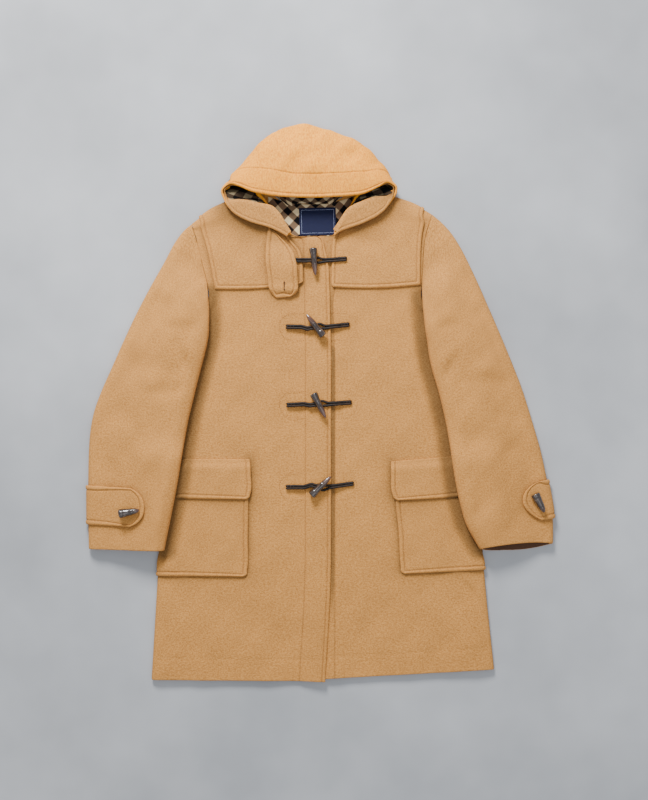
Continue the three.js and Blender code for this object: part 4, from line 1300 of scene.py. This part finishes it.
def hood_skin(at, shares, off):
    h = 0.02
    shares = np.asarray(shares, float)
    along = hood_points(min(HOOD_LAST, at + h), shares) - hood_points(max(0, at - h), shares)
    across = hood_points(at, np.minimum(1, shares + h)) - hood_points(at, np.maximum(0, shares - h))
    inward = np.cross(across, along)
    inward /= np.linalg.norm(inward, axis=1)[:, None]
    place = hood_points(at, shares) + inward * off
    floor = YOKE_TOP + SEAM if on_yokes(at) else off
    place[:, 2] = np.maximum(floor, place[:, 2])
    return place


def hood_grid(shares, level, stations=HOOD_STATIONS, reach=None, inside=True):
    """A layer of the hood; its outer face is the one that looks out of the hood unless it is inside."""
    sign = 1 if inside else -1

    def grid(off):
        made = []
        for at in stations:
            row = read_smooth(HOOD, at)
            share = np.array(shares) * (reach(at, row) if reach else 1)
            made.append(hood_skin(at, share, level + sign * off))
        return made

    return grid


# Lining behind the neck. Columns: left x, right x, y, rise of the row's ends
NECK_LINING = [
    [-96, 66, 288, 0],
    [-96, 64, 312, 0],
    [-95, 58, 335, 2],
    [-98, 57, 352, 6],
    [-100, 57, 370.2, 14],
]


def neck_lining_grid(off):
    height = LIFT + LINING + off
    return [[[mix(left, right, t), y + rise * (2 * t - 1) ** 2, height] for t in steps(8)]
            for left, right, y, rise in NECK_LINING]


# Throat tab. Columns: left x, left y, right x, right y, height of its under side
THROAT_TAB = [
    [-84, 195.5, -60, 198, 10.1],
    [-91, 201.5, -51, 202.5, 10.1],
    [-97, 211, -45, 209, 13.4],
    [-99.5, 226, -44, 224, 13.6],
    [-101, 240, -45, 240, 16],
    [-103, 256, -46, 254, 17.8],
    [-104, 268, -49, 268, 17.8],
    [-104, 283, -53, 280, 16.5],
    [-103, 300, -63, 294, 13.6],
    [-101, 316, -75, 306, 13.4],
    [-100, 328, -87, 318, 13.4],
]


def tab_grid(off):
    made = []
    for lx, ly, rx, ry, z in THROAT_TAB:
        made.append([[mix(lx, rx, t), mix(ly, ry, t), z + CLOTH + off] for t in steps(4)])
    return made


# Relief of each region: soft troughs and ridges, listed one by one
FRONT_CREASES = [
    (-166, 310, -168, 224, 1, 3, 0.45),
    (-130, 130, -122, -120, 6, 16, 1.2),
    (-190, 60, -200, -90, -5, 14, 0.9),
    (62, 160, 70, -40, -6, 15, 1.2),
    (120, 60, 128, -110, 8, 18, 0.9),
    (-88, -330, -70, -480, -4, 14, 1.0),
    (-60, -250, -50, -470, 3, 12, 0.8),
    (78, -290, 84, -460, 5, 16, 1.0),
    (250, -320, 292, -384, 4, 8, 1.5),
    (-240, -380, -250, -500, 4, 18, 0.9),
    (175, -370, 170, -480, -4, 16, 0.8),
    (40, 316, 122, 296, -7, 13, 1.6),
    (-150, 330, -100, 300, 6, 10, 0.8),
    (-40, 110, -44, -110, 2, 8, 0.4),
]
RIGHT_SLEEVE_CREASES = [
    (-300, 146, -226, 142, -4, 10, 1.3),
    (-280, 120, -230, 30, 5, 11, 1.8),
    (-338, 22, -236, 34, -6, 12, 1.7),
    (-262, 286, -240, 226, 6, 10, 1.8),
    (-330, 196, -268, 168, 6, 14, 1.2),
    (-372, 100, -300, 60, -8, 16, 1.3),
    (-402, -96, -378, -150, 4, 12, 1.6),
    (-410, -20, -330, -40, 8, 17, 1.3),
    (-318, -60, -300, -210, -6, 14, 1.6),
    (-350, -60, -362, -140, 5, 15, 1.1),
    (-300, 240, -262, 200, 5, 14, 1.3),
]
LEFT_SLEEVE_CREASES = [
    (206, 138, 262, 156, -4, 10, 1.3),
    (216, 40, 258, 120, -5, 11, 1.8),
    (252, 42, 352, 34, 6, 12, 1.7),
    (208, 286, 222, 226, -6, 10, 1.5),
    (262, 190, 300, 160, -6, 14, 1.2),
    (228, -6, 250, -66, -4, 11, 1.4),
    (300, 0, 372, -30, -8, 16, 1.3),
    (330, -80, 396, -110, 7, 15, 1.4),
    (300, -110, 282, -220, 6, 14, 1.6),
    (350, -140, 345, -60, -5, 15, 1.1),
    (240, 250, 280, 216, 5, 14, 1.2),
]
HOOD_CREASES = [
    (-62, 436, -6, 460, 5, 12, 3.0),
    (30, 462, 92, 438, 6, 13, 2.8),
    (-150, 422, -108, 446, 3, 10, 1.4),
    (-20, 500, 40, 492, -6, 16, 1.4),
]
# The body sinks along the sleeves: depth, reach from the sleeve's edge
SLEEVE_VALLEY = (3.2, 21)
# Each sleeve swells along its inner edge: height, distance from the edge, half width
SLEEVE_SWELL = (2.6, 20, 15)
# Press line of the hem: distance from the hem, depth, half width
HEM_LINE = (40, 0.55, 2.2)


def far_from(line, x, y):
    """The distance to a line on the plan."""
    best = np.full(np.shape(x), 1e6)
    for (x1, y1), (x2, y2) in zip(line, line[1:]):
        dx, dy = x2 - x1, y2 - y1
        t = np.clip(((x - x1) * dx + (y - y1) * dy) / (dx * dx + dy * dy), 0, 1)
        best = np.minimum(best, np.hypot(x - x1 - t * dx, y - y1 - t * dy))
    return best


def inner_line(rows, first=0, last=None):
    """The line through the last two columns of some rows of a table."""
    return [tuple(row[-2:]) for row in rows[first:last]]


def edge_line(rows, first, last):
    """The line through the first two columns of some rows of a table."""
    return [tuple(row[:2]) for row in rows[first:last]]


SLEEVE_EDGES = {"right": inner_line(SLEEVE_RIGHT), "left": inner_line(SLEEVE_LEFT)}


def valley(x, y):
    depth, reach = SLEEVE_VALLEY
    away = np.minimum(far_from(SLEEVE_EDGES["right"], x, y), far_from(SLEEVE_EDGES["left"], x, y))
    return depth * np.exp(-((away / reach) ** 4))


def layered_relief(x, y, lay=None):
    return undulation(x, y) + creases(FRONT_CREASES, x, y) - valley(x, y)


def front_relief(x, y, lay):
    place, depth, width = HEM_LINE
    hem = depth * np.exp(-(((lay["low"] - place) / width) ** 2))
    return (layered_relief(x, y) - hem) * inside_edges(lay, 24)


def inside_edges(lay, reach):
    away = np.minimum(lay["left"], lay["right"])
    return smooth(0, reach, away)


def sleeve_swell(lay):
    height, place, width = SLEEVE_SWELL
    return height * np.exp(-(((lay["right"] - place) / width) ** 2)) * smooth(20, 120, lay["low"])


def sleeve_relief(table, x, y, lay):
    folds = creases(table, x, y) + 1.6 * undulation(x, y)
    return folds * inside_edges(lay, 30) + sleeve_swell(lay)


def right_sleeve_relief(x, y, lay):
    return sleeve_relief(RIGHT_SLEEVE_CREASES, x, y, lay)


def left_sleeve_relief(x, y, lay):
    return sleeve_relief(LEFT_SLEEVE_CREASES, x, y, lay)


def hood_relief(x, y, lay):
    upper = smooth(8.4, 10.4, hood_row(lay)) * (1 - smooth(17.6, 19.6, hood_row(lay)))
    shown = smooth(4, 26, lay["left"]) * (1 - smooth(150, 190, lay["left"]))
    return (creases(HOOD_CREASES, x, y) + 2.2 * undulation(1.6 * x, 1.6 * y)) * upper * shown


def hood_row(lay):
    """The hood's row number at each place."""
    along = HOOD_FORM.along
    return np.interp(lay["b"], along, HOOD_STATIONS)


def patch_line(side, rows):
    """The lower edge and the inner edge of a patch on the body's side."""
    low = rows[0]
    return [(side_x(side, low[0]), low[0]), *inner_line(rows)]


def strap_line(rows, outer):
    return [(outer, rows[0][0]), *[(x, y) for y, x in rows], (outer, rows[-1][0])]


# Shade painted on cloth beside a raised edge, where the edge's shadow falls. Columns: line, strength, reach,
# how flat the shade starts
SHADES = {
    "sleeve_right": (SLEEVE_EDGES["right"], 1.0, 22, 5),
    "sleeve_left": (SLEEVE_EDGES["left"], 1.0, 22, 5),
    "pocket_right": (patch_line(RIGHT, POCKET_RIGHT), 0.95, 5.5, 1),
    "pocket_left": (patch_line(LEFT, POCKET_LEFT), 0.95, 5.5, 1),
    "flap_right": (patch_line(RIGHT, FLAP_RIGHT), 0.75, 9.5, 1),
    "flap_left": (patch_line(LEFT, FLAP_LEFT), 0.75, 9.5, 1),
    "yoke_right": ([*edge_line(YOKE_RIGHT, 0, 1), *inner_line(YOKE_RIGHT)], 0.65, 8, 1),
    "yoke_left": ([*edge_line(YOKE_LEFT, 0, 1), *inner_line(YOKE_LEFT)], 0.65, 8, 1),
    "armhole_right": (edge_line(YOKE_RIGHT, 0, 8), 0.7, 5, 1),
    "armhole_left": (edge_line(YOKE_LEFT, 0, 8), 0.7, 5, 1),
    "front_upper": (inner_line([row[:4] for row in FRONT_RIGHT], 4, 9), 0.75, 5, 3),
    "front_lower": (inner_line([row[:4] for row in FRONT_RIGHT], 0, 5), 0.95, 7.2, 6),
    "rim_right": (edge_line(HOOD, 3, 10), 1.0, 28, 1.6),
    "rim_right_low": (edge_line(HOOD, 0, 4), 0.55, 9, 1.3),
    "rim_left": (edge_line(HOOD, 20, 26), 0.85, 21, 1.6),
    "rim_left_low": (edge_line(HOOD, 25, 29), 0.55, 9, 1.3),
    "tab": ([tuple(row[:2]) for row in THROAT_TAB[::-1]] + [tuple(row[2:4]) for row in THROAT_TAB],
            0.55, 7, 1.2),
    "strap_right": (strap_line(STRAP_RIGHT, -433), 0.55, 5, 1),
    "strap_left": (strap_line(STRAP_LEFT, 424), 0.55, 5, 1),
}
RIM = ("rim_right", "rim_right_low", "rim_left", "rim_left_low")


def shaded_by(*names):
    """The painted shade of some raised edges taken together."""
    def shade(x, y):
        lit = np.ones(np.shape(x))
        for name in names:
            line, strength, reach, flat = SHADES[name]
            lit = lit * (1 - strength * np.exp(-((far_from(line, x, y) / reach) ** flat)))
        return 1 - lit

    return shade


def build_body():
    hem = Edge("round")
    fold = Edge("round", (6.5, 48.6))
    front = Form(front_grid(RIGHT, right_top, True))
    cloth("front_right", front, BODY_WOOL, {"low": hem, "right": fold}, spacing=3.2,
          relief=front_relief, thread=THREAD,
          shade=shaded_by("sleeve_right", "pocket_right", "flap_right", "yoke_right", "armhole_right", "tab",
                          *RIM))
    front = Form(front_grid(LEFT, left_top, False))
    cloth("front_left", front, BODY_WOOL, {"low": hem, "right": Edge("round", (50.0,))}, spacing=3.2,
          relief=front_relief, thread=THREAD,
          shade=shaded_by("sleeve_left", "pocket_left", "flap_left", "yoke_left", "armhole_left", "front_upper",
                          "front_lower", *RIM))
    cloth("back", Form(back_grid), BODY_WOOL, {"low": hem}, spacing=8.0)


def build_yokes():
    edge = Edge("round", (7.0,))
    for name, side, rows in (("yoke_right", RIGHT, YOKE_RIGHT), ("yoke_left", LEFT, YOKE_LEFT)):
        cloth(name, Form(yoke_grid(side, rows)), BODY_WOOL, {"left": edge, "low": edge, "right": edge},
              spacing=3.0, relief=layered_relief, thread=THREAD,
              shade=shaded_by("tab", *RIM))


def build_pockets():
    edge = Edge("round", (8.0,))
    sides = (("right", RIGHT, POCKET_RIGHT, FLAP_RIGHT), ("left", LEFT, POCKET_LEFT, FLAP_LEFT))
    for name, side, pocket, flap in sides:
        cloth(f"pocket_{name}", Form(patch_grid(side, pocket, pocket_lift)), BODY_WOOL,
              {"low": edge, "right": edge}, spacing=3.0, relief=layered_relief,
              thread=THREAD, shade=shaded_by(f"sleeve_{name}", f"flap_{name}"))
        cloth(f"pocket_flap_{name}", Form(patch_grid(side, flap, flap_lift)), BODY_WOOL,
              {"low": edge, "right": edge, "high": Edge("round")}, spacing=3.0, relief=layered_relief,
              thread=THREAD, shade=shaded_by(f"sleeve_{name}"))


def build_sleeves():
    hem = Edge("round")
    arms = (("right", ARM_RIGHT, right_sleeve_relief), ("left", ARM_LEFT, left_sleeve_relief))
    for name, arm, relief in arms:
        cloth(f"sleeve_{name}_top", Form(sleeve_grid(arm, 1)), BODY_WOOL, {"high": hem}, spacing=3.2,
              relief=relief,
              shade=shaded_by(f"strap_{name}", f"armhole_{name}"))
        cloth(f"sleeve_{name}_under", Form(sleeve_grid(arm, -1)), BODY_WOOL, {"high": hem}, spacing=6.0)
    lining = Form(sleeve_grid(ARM_LEFT, -1, (10, 10.3, 10.6, 10.97), 3, CLOTH + 0.5 + 1.2))
    cloth("cuff_lining_left", lining, CUFF_LOOK, spacing=4.0, thickness=1.2)


def build_straps():
    edge = Edge("round", (8.5,))
    for name, arm, rows in (("right", ARM_RIGHT, STRAP_RIGHT), ("left", ARM_LEFT, STRAP_LEFT)):
        cloth(f"cuff_strap_{name}", Form(strap_grid(arm, rows)), BODY_WOOL,
              {"low": edge, "high": edge, "right": edge}, spacing=2.5,
              thread=THREAD)


HOOD_FORM = Form(hood_grid(SHELL_SHARES, 0, inside=False))
# The lining's edge is turned over the neck seam: its reach at the middle and at the ends, and where it points
NECK_TURN = (0.12, 0.3)
NECK_MIDDLE = (-20, 330)
# Lining inside the hood's two tips. Columns: name, first row, last row
TIP_ROWS = (("right", 3.5, 11.0), ("left", 17.0, 24.5))
TIP_LINING = {"from": 0.56, "to": 0.96}
# Painted shade on the lining inside the tips, which the hood keeps in deep shadow
TIP_SHADE = 0.85
# Painted shade below the hood's lip: where it starts and is full, and its strength on the facing and on the
# lining
UNDER_LIP = {"from": 370, "to": 388, "facing": 0.75, "lining": 0.4}


def facing_reach(at, row):
    return row[11]


def build_hood():
    def upper_only(lay, plan):
        row = hood_row(lay)
        near = lay["left"] < 20
        on_crown = smooth(8.9, 9.3, row) * (1 - smooth(18.7, 19.1, row))
        return np.where(near, 1.0, on_crown)

    edge = Edge("round", (6.5,), (43.0,))
    cloth("hood_shell", HOOD_FORM, HOOD_WOOL_LIT, {"left": edge}, spacing=3.5, relief=hood_relief,
          thread=THREAD, keep=upper_only)
    level = CLOTH + FACING_GAP + FACING
    facing = Form(hood_grid(FACING_SHARES, level, reach=facing_reach))
    cloth("hood_facing", facing, BODY_WOOL, {"left": Edge("round", (6.5,)), "right": Edge("round")},
          spacing=3.0, thickness=FACING, thread=THREAD,
          shade=lambda x, y: UNDER_LIP["facing"] * smooth(UNDER_LIP["from"], UNDER_LIP["to"], y))
    first = ON_YOKES + 3
    rows = [at for at in HOOD_STATIONS if first <= at <= HOOD_LAST - first]

    def lining_grid(off):
        made = []
        for at in rows:
            skin = hood_skin(at, steps(5, LINING_FROM, 0.99), LIFT + LINING + off)
            neck = skin[-1]
            reach = mix(*NECK_TURN, float(smooth(20, 60, abs(neck[0] - NECK_MIDDLE[0]))))
            over = mix(neck, np.array([*NECK_MIDDLE, neck[2]]), reach)
            over[2] = LIFT + 2 * LINING + SEAM + off
            made.append([*skin, mix(neck, over, 0.5) + (0, 0, 0.5), over])
        return made

    cloth("hood_lining", Form(lining_grid), CHECK_LOOK, spacing=4.0, thickness=LINING,
          shade=lambda x, y: UNDER_LIP["lining"] * smooth(UNDER_LIP["from"], UNDER_LIP["to"], y))
    cloth("neck_lining", Form(neck_lining_grid), CHECK_LOOK, spacing=4.0, thickness=LINING)
    for name, first, last in TIP_ROWS:
        stations = steps(14, first, last)
        tip = Form(hood_grid(steps(10, TIP_LINING["from"], TIP_LINING["to"]), LIFT + LINING, stations))
        cloth(f"hood_lining_tip_{name}", tip, CHECK_LOOK, spacing=3.0, thickness=LINING,
              nodes=[], shade=lambda x, y: np.full(np.shape(x), TIP_SHADE))


def turned(centre, dx, dy, angle):
    c, s = cosine(angle), sine(angle)
    return centre[0] + dx * c - dy * s, centre[1] + dx * s + dy * c


def build_label():
    height = LIFT + LINING + SEAM + LABEL["thickness"]

    def grid(off):
        rows = []
        for v in steps(6, -0.5, 0.5):
            row = []
            for u in steps(8, -0.5, 0.5):
                x, y = turned((LABEL["x"], LABEL["y"]), u * LABEL["width"], v * LABEL["height"], LABEL["turn"])
                row.append([x, y, height + off])
            rows.append(row)
        return rows

    edge = Edge("round")
    cloth("label", Form(grid), LABEL_LOOK, {"left": edge, "right": edge, "low": edge, "high": edge},
          spacing=3.0, thickness=LABEL["thickness"])
    inset = 4.0
    half_x, half_y = LABEL["width"] / 2 - inset, LABEL["height"] / 2 - inset
    corners = [(-half_x, -half_y), (half_x, -half_y), (half_x, half_y), (-half_x, half_y), (-half_x, -half_y)]
    centre = (LABEL["x"], LABEL["y"])
    paths = []
    for a, b in zip(corners, corners[1:]):
        paths.append([turned(centre, *a, LABEL["turn"]), turned(centre, *b, LABEL["turn"])])
    sew_on_top("label_border", paths, lambda x, y: np.full(np.shape(x), height), BORDER_LOOK, pitch=1.5,
               raised=0.05, length=1.6, radius=0.42, slot="label")


BUTTONHOLE = {"x": -69.5, "low": 211, "high": 226}


def build_tab():
    edge = Edge("round", (8.0,))
    form = Form(tab_grid)
    edges = {"left": edge, "low": edge, "right": edge, "high": Edge("round")}
    cloth("throat_tab", form, BODY_WOOL, edges, spacing=2.5, relief=layered_relief,
          thread=THREAD, shade=shaded_by(*RIM))

    def height(x, y):
        rows = np.array(THROAT_TAB)
        middle = (rows[:, 1] + rows[:, 3]) / 2
        return np.interp(y, middle, rows[:, 4]) + CLOTH + layered_relief(x, y)

    slit = [(BUTTONHOLE["x"], BUTTONHOLE["low"]), (BUTTONHOLE["x"], BUTTONHOLE["high"])]
    sides = [[(x + d, y) for x, y in slit] for d in (-1.1, 1.1)]
    sew_on_top("buttonhole", sides, height, THREAD, pitch=1.2, raised=0.15, length=1.3, radius=0.6)
    sew_on_top("buttonhole_slit", [slit], height, DARK_THREAD, pitch=0.8, raised=0.4, length=1.5, radius=0.62)
    eye = [(BUTTONHOLE["x"], BUTTONHOLE["low"] - 1.0), (BUTTONHOLE["x"], BUTTONHOLE["low"] + 1.0)]
    sew_on_top("buttonhole_eye", [eye], height, DARK_THREAD, pitch=0.7, raised=0.45, length=1.4, radius=1.15)


# Front fastenings. Columns: right end x, y; left end x, y; toggle centre x, y; toggle turn
FASTENINGS = [
    (-67, 266, 46, 268, -14.5, 265, -175),
    (-67, 143, 51, 147, -11, 142, 38),
    (-66, -2, 55, 3, -6, 0, -153),
    (-67, -154, 59, -147, -4, -153, -46),
]
CORD_SHARES = (0, 0.3, 0.55, 0.8)
STRAND = CORD_R + SEAM / 2
CORD_ABOVE = CORD_R + SEAM
TOGGLE_ABOVE = 10.3
# How much of the toggle's turn the cords follow
APPROACH = 0.3
# The leather bulges a little past the solid cord
CORD_FULL = 1.14


def under_cord(x, fastening):
    wave = float(layered_relief(x, FASTENINGS[fastening][5]))
    if fastening == 0:
        return BODY_TOP + LIFT + wave
    climb = smooth(LAP["from"] - 20, LAP["from"] - 2, x) * (1 - smooth(21, 40, x))
    return BODY_TOP + LIFT * float(climb) + wave


def cord_turn(turn):
    half = turn % 180
    return half - 180 if half > 90 else half


def holding_path(row, index):
    """The right cord runs into the toggle's drilled waist from its side and comes back."""
    rx, ry, _, _, cx, cy, turn = row
    angle = APPROACH * cord_turn(turn)
    floor = under_cord(cx, index)

    def near(dx, dy, z):
        return [*turned((cx, cy), dx, dy, angle), z]

    def far(t, dy):
        x = mix(rx, cx - 20, t)
        return [x, mix(ry, cy, t) + dy, under_cord(x, index) + CORD_ABOVE]

    return [
        *[far(t, STRAND) for t in CORD_SHARES],
        near(-15.5, 2.3, floor + 6.2),
        near(-11, 2.2, floor + 6.9),
        near(-5, 2.0, floor + 7.2),
        near(0, 1.6, floor + 7.4),
        near(2.5, 0, floor + 7.5),
        near(0, -1.6, floor + 7.4),
        near(-5, -2.0, floor + 7.2),
        near(-11, -2.2, floor + 6.9),
        near(-15.5, -2.3, floor + 6.2),
        *[far(t, -STRAND) for t in reversed(CORD_SHARES)],
    ]


def loop_path(row, index):
    _, _, lx, ly, cx, cy, turn = row
    angle = APPROACH * cord_turn(turn)
    level = under_cord(cx, index) + CORD_ABOVE

    def near(dx, dy):
        return [*turned((cx, cy), dx, dy, angle), level]

    def far(t, dy):
        x = mix(lx, cx + 17, t)
        return [x, mix(ly, cy, t) + dy, under_cord(x - 3, index) + CORD_ABOVE]

    return [
        *[far(t, STRAND) for t in CORD_SHARES],
        far(1, STRAND + 0.5),
        near(8, 4.4),
        near(0, 4.4),
        near(-4.2, 3.0),
        near(-5.6, 0),
        near(-4.2, -3.0),
        near(0, -4.4),
        near(8, -4.4),
        far(1, -STRAND - 0.5),
        *[far(t, -STRAND) for t in reversed(CORD_SHARES)],
    ]


def tube(path, radii, sides, squash=1.0):
    """Rings of points round a path, each turned as little as can be from the one before."""
    ways = np.gradient(path, axis=0)
    ways /= np.linalg.norm(ways, axis=1)[:, None]
    across = np.cross((0, 0, 1), ways[0])
    angles = np.linspace(0, 2 * np.pi, sides, endpoint=False)
    rings = []
    for place, way, radius in zip(path, ways, radii):
        across = across - way * np.dot(across, way)
        across = across / np.linalg.norm(across)
        up = np.cross(way, across)
        ring = np.outer(np.cos(angles), across) + np.outer(np.sin(angles), up) * squash
        rings.append(place + ring * radius)
    return np.array(rings)


def tube_object(name, path, radii, sides, look, squash=1.0, nodes=None):
    rings = tube(path, radii, sides, squash)
    count = len(rings)
    points = np.concatenate([rings.reshape(-1, 3), path[:1], path[-1:]])
    faces = grid_faces(count, sides, closed=True)
    last = (count - 1) * sides
    for k in range(sides):
        n = (k + 1) % sides
        faces.append([count * sides, n, k])
        faces.append([count * sides + 1, last + k, last + n])
    run = np.concatenate([[0], np.cumsum(np.linalg.norm(np.diff(path, axis=0), axis=1))])
    u = np.tile(np.linspace(0, 2 * np.pi * np.mean(radii), sides), count)
    uv = np.stack([u, np.repeat(run, sides)], axis=1)
    uv = np.concatenate([uv, [[0, run[0]], [0, run[-1]]]])
    return make_object(name, points, outward(points, faces), look, nodes or [name], uv)


def build_cord(name, path):
    line = even_points(spline(path, np.linspace(0, 1, 800)), 110)
    random = np.random.default_rng(SEED)
    rough = np.interp(np.arange(110), np.arange(0, 111, 5), random.normal(1.0, 0.035, 23))
    ends = np.clip(np.minimum(np.arange(110), np.arange(110)[::-1]) / 2.0, 0.0, 1.0)
    radii = CORD_R * CORD_FULL * rough * np.sqrt(0.35 + 0.65 * ends)
    return tube_object(name, line, radii, 10, LEATHER)


# Toggles. Columns: place along from the waist, radius
TOGGLE = [(-22, 5.4), (-21, 7.2), (-14, 7.2), (-6.5, 6.0), (0, 5.4), (7, 5.8), (15, 4.9), (23, 3.3), (28, 1.3)]
CUFF_TOGGLE = [(-17.5, 6.4), (-16, 8.2), (-8, 7.9), (0, 6.6), (8, 6.2), (15, 4.6), (20, 2.0)]
# Places of the carved grooves beside the waist
TOGGLE_NOTCHES = (-9.5, 9.0)
NOTCH_DEPTH = 0.5


def build_toggle(name, rows, centre, height, turn):
    places = np.array([row[0] for row in rows], float)
    fine = np.concatenate([[places[0]], np.linspace(places[0] + 0.2, places[-1] - 0.2, 60), [places[-1]]])
    along = spline([[p, r, 0] for p, r in rows], np.linspace(0, 1, 400))
    radius = np.interp(fine, along[:, 0], along[:, 1])
    for notch in TOGGLE_NOTCHES:
        radius -= NOTCH_DEPTH * np.exp(-(((fine - notch) / 1.0) ** 2))
    radius[0] *= 0.82
    path = [[*turned(centre, 0, place, turn), height] for place in fine]
    return tube_object(name, np.array(path), radius, 28, HORN)


def build_fastenings():
    for index, row in enumerate(FASTENINGS):
        number = index + 1
        level = under_cord(row[4], index) + TOGGLE_ABOVE
        build_toggle(f"toggle_{number}", TOGGLE, (row[4], row[5]), level, row[6])
        build_cord(f"cord_right_{number}", holding_path(row, index))
        build_cord(f"cord_left_{number}", loop_path(row, index))
        binding(f"cord_binding_{number}", row, index)
        if index > 0:
            reinforcement(f"reinforcement_{number}", row)


# Small bars of thread that hold the cord ends down
BINDING_PLACES = (3.5, 9.0, 14.5)


def binding(name, row, index):
    lines = []
    for end_x, end_y, way in ((row[0], row[1], 1), (row[2], row[3], -1)):
        for place in BINDING_PLACES:
            x = end_x + way * place
            base = under_cord(x if way > 0 else x - 3, index)
            arc = []
            for angle in np.linspace(180, 0, 17):
                y = end_y + (STRAND + CORD_R + 0.35) * cosine(angle)
                z = base + 0.2 + (2 * CORD_R + 0.35) * max(0.0, sine(angle)) ** 0.4
                arc.append([x, y, z])
            lines.append(np.array(arc))
    rings = []
    faces = []
    for line in lines:
        first = len(rings) * 6
        made = tube(line, np.full(len(line), 0.42), 6)
        faces += grid_faces(len(made), 6, first, closed=True)
        rings.extend(made)
    points = np.array(rings).reshape(-1, 3)
    make_object(name, points, faces, DARK_THREAD)


# Stitched patches that hold the cords. Columns of a side: straight edge x, far edge x
REINFORCE = {"right": (-33, -79), "left": (16.5, 65), "tall": 50}


def cloth_height(x, y):
    lap = LIFT * np.clip((np.asarray(x) - LAP["from"]) / (LAP["to"] - LAP["from"]), 0, 1) * (np.asarray(x) < 17)
    return BODY_TOP + lap + layered_relief(x, y)


def reinforcement(name, row):
    middle = (row[1] + row[3]) / 2 - 2
    half = REINFORCE["tall"] / 2
    paths = []
    for near, far in (REINFORCE["right"], REINFORCE["left"]):
        bend = mix(near, far, 0.45)
        path = [(near, middle + half), (bend, middle + half)]
        for angle in range(80, -81, -10):
            path.append((mix(bend, far, cosine(angle)), middle + half * sine(angle)))
        path += [(bend, middle - half), (near, middle - half)]
        paths.append(path)
    sew_on_top(name, paths, cloth_height, THREAD, raised=0.1, radius=0.32)


# Cuff toggles. Columns: centre x, y, turn
CUFF_TOGGLE_RIGHT = (-353, -197, -80)
CUFF_TOGGLE_LEFT = (398, -180, -153)


def build_cuff_toggles():
    sides = (("right", ARM_RIGHT, CUFF_TOGGLE_RIGHT), ("left", ARM_LEFT, CUFF_TOGGLE_LEFT))
    for name, arm, (x, y, turn) in sides:
        k, w, width = sleeve_place(arm, x, y)
        end = SLEEVE_ROLL / width
        base = sleeve_point(arm, k, "flat", (w - end) / (1 - 2 * end), 90, LIFT + SEAM, 1)
        build_toggle(f"cuff_toggle_{name}", CUFF_TOGGLE, (x, y), base[2] + 8.4, turn)


# Floor, light and camera
VIEW = {"width": 648, "height": 800, "scale": 1.85, "distance": 2000.0, "plane": 10.0,
        "centre": (3.7, 7.4), "sensor": 36.0}


def build_floor():
    half = FLOOR["size"] / 2
    mesh = bpy.data.meshes.new("floor")
    count = 12
    places = [[mix(-half, half, i / count), mix(-half, half, j / count), -0.0004]
              for i in range(count + 1) for j in range(count + 1)]
    mesh.from_pydata(places, [], grid_faces(count + 1, count + 1, turned=True))
    mesh.materials.append(floor_look())
    floor = bpy.data.objects.new("floor", mesh)
    bpy.context.scene.collection.objects.link(floor)


# Lights. Columns: name, place, size, power, warmth
LIGHTS = [
    ("key", (-0.5, 1.9, 1.35), 0.8, 104.0, (1.0, 0.985, 0.96)),
    ("fill", (0.6, -0.8, 2.5), 2.4, 18.0, (0.96, 0.98, 1.0)),
]
WORLD = {"colour": (0.94, 0.965, 1.0, 1.0), "strength": 0.62}


def build_light():
    for name, place, size, power, colour in LIGHTS:
        data = bpy.data.lights.new(name, "AREA")
        data.shape = "DISK"
        data.size = size
        data.energy = power
        data.color = colour
        light = bpy.data.objects.new(name, data)
        bpy.context.scene.collection.objects.link(light)
        light.location = place
        light.rotation_euler = (-Vector(place)).to_track_quat("-Z", "Y").to_euler()
    world = bpy.data.worlds.new("studio")
    world.use_nodes = True
    background = world.node_tree.nodes["Background"]
    background.inputs[0].default_value = WORLD["colour"]
    background.inputs[1].default_value = WORLD["strength"]
    bpy.context.scene.world = world


def build_camera():
    data = bpy.data.cameras.new("camera")
    data.sensor_width = VIEW["sensor"]
    data.lens = VIEW["sensor"] * VIEW["distance"] / (VIEW["height"] * VIEW["scale"])
    camera = bpy.data.objects.new("camera", data)
    bpy.context.scene.collection.objects.link(camera)
    x, y = VIEW["centre"]
    camera.location = ((x + SHIFT[0]) * MM, (y + SHIFT[1]) * MM, (VIEW["distance"] + VIEW["plane"]) * MM)
    data.clip_start, data.clip_end = 0.05, 50
    bpy.context.scene.camera = camera


build_camera()
build_light()
build_floor()
build_body()
build_yokes()
build_pockets()
build_sleeves()
build_straps()
build_hood()
build_label()
build_tab()
build_fastenings()
build_cuff_toggles()
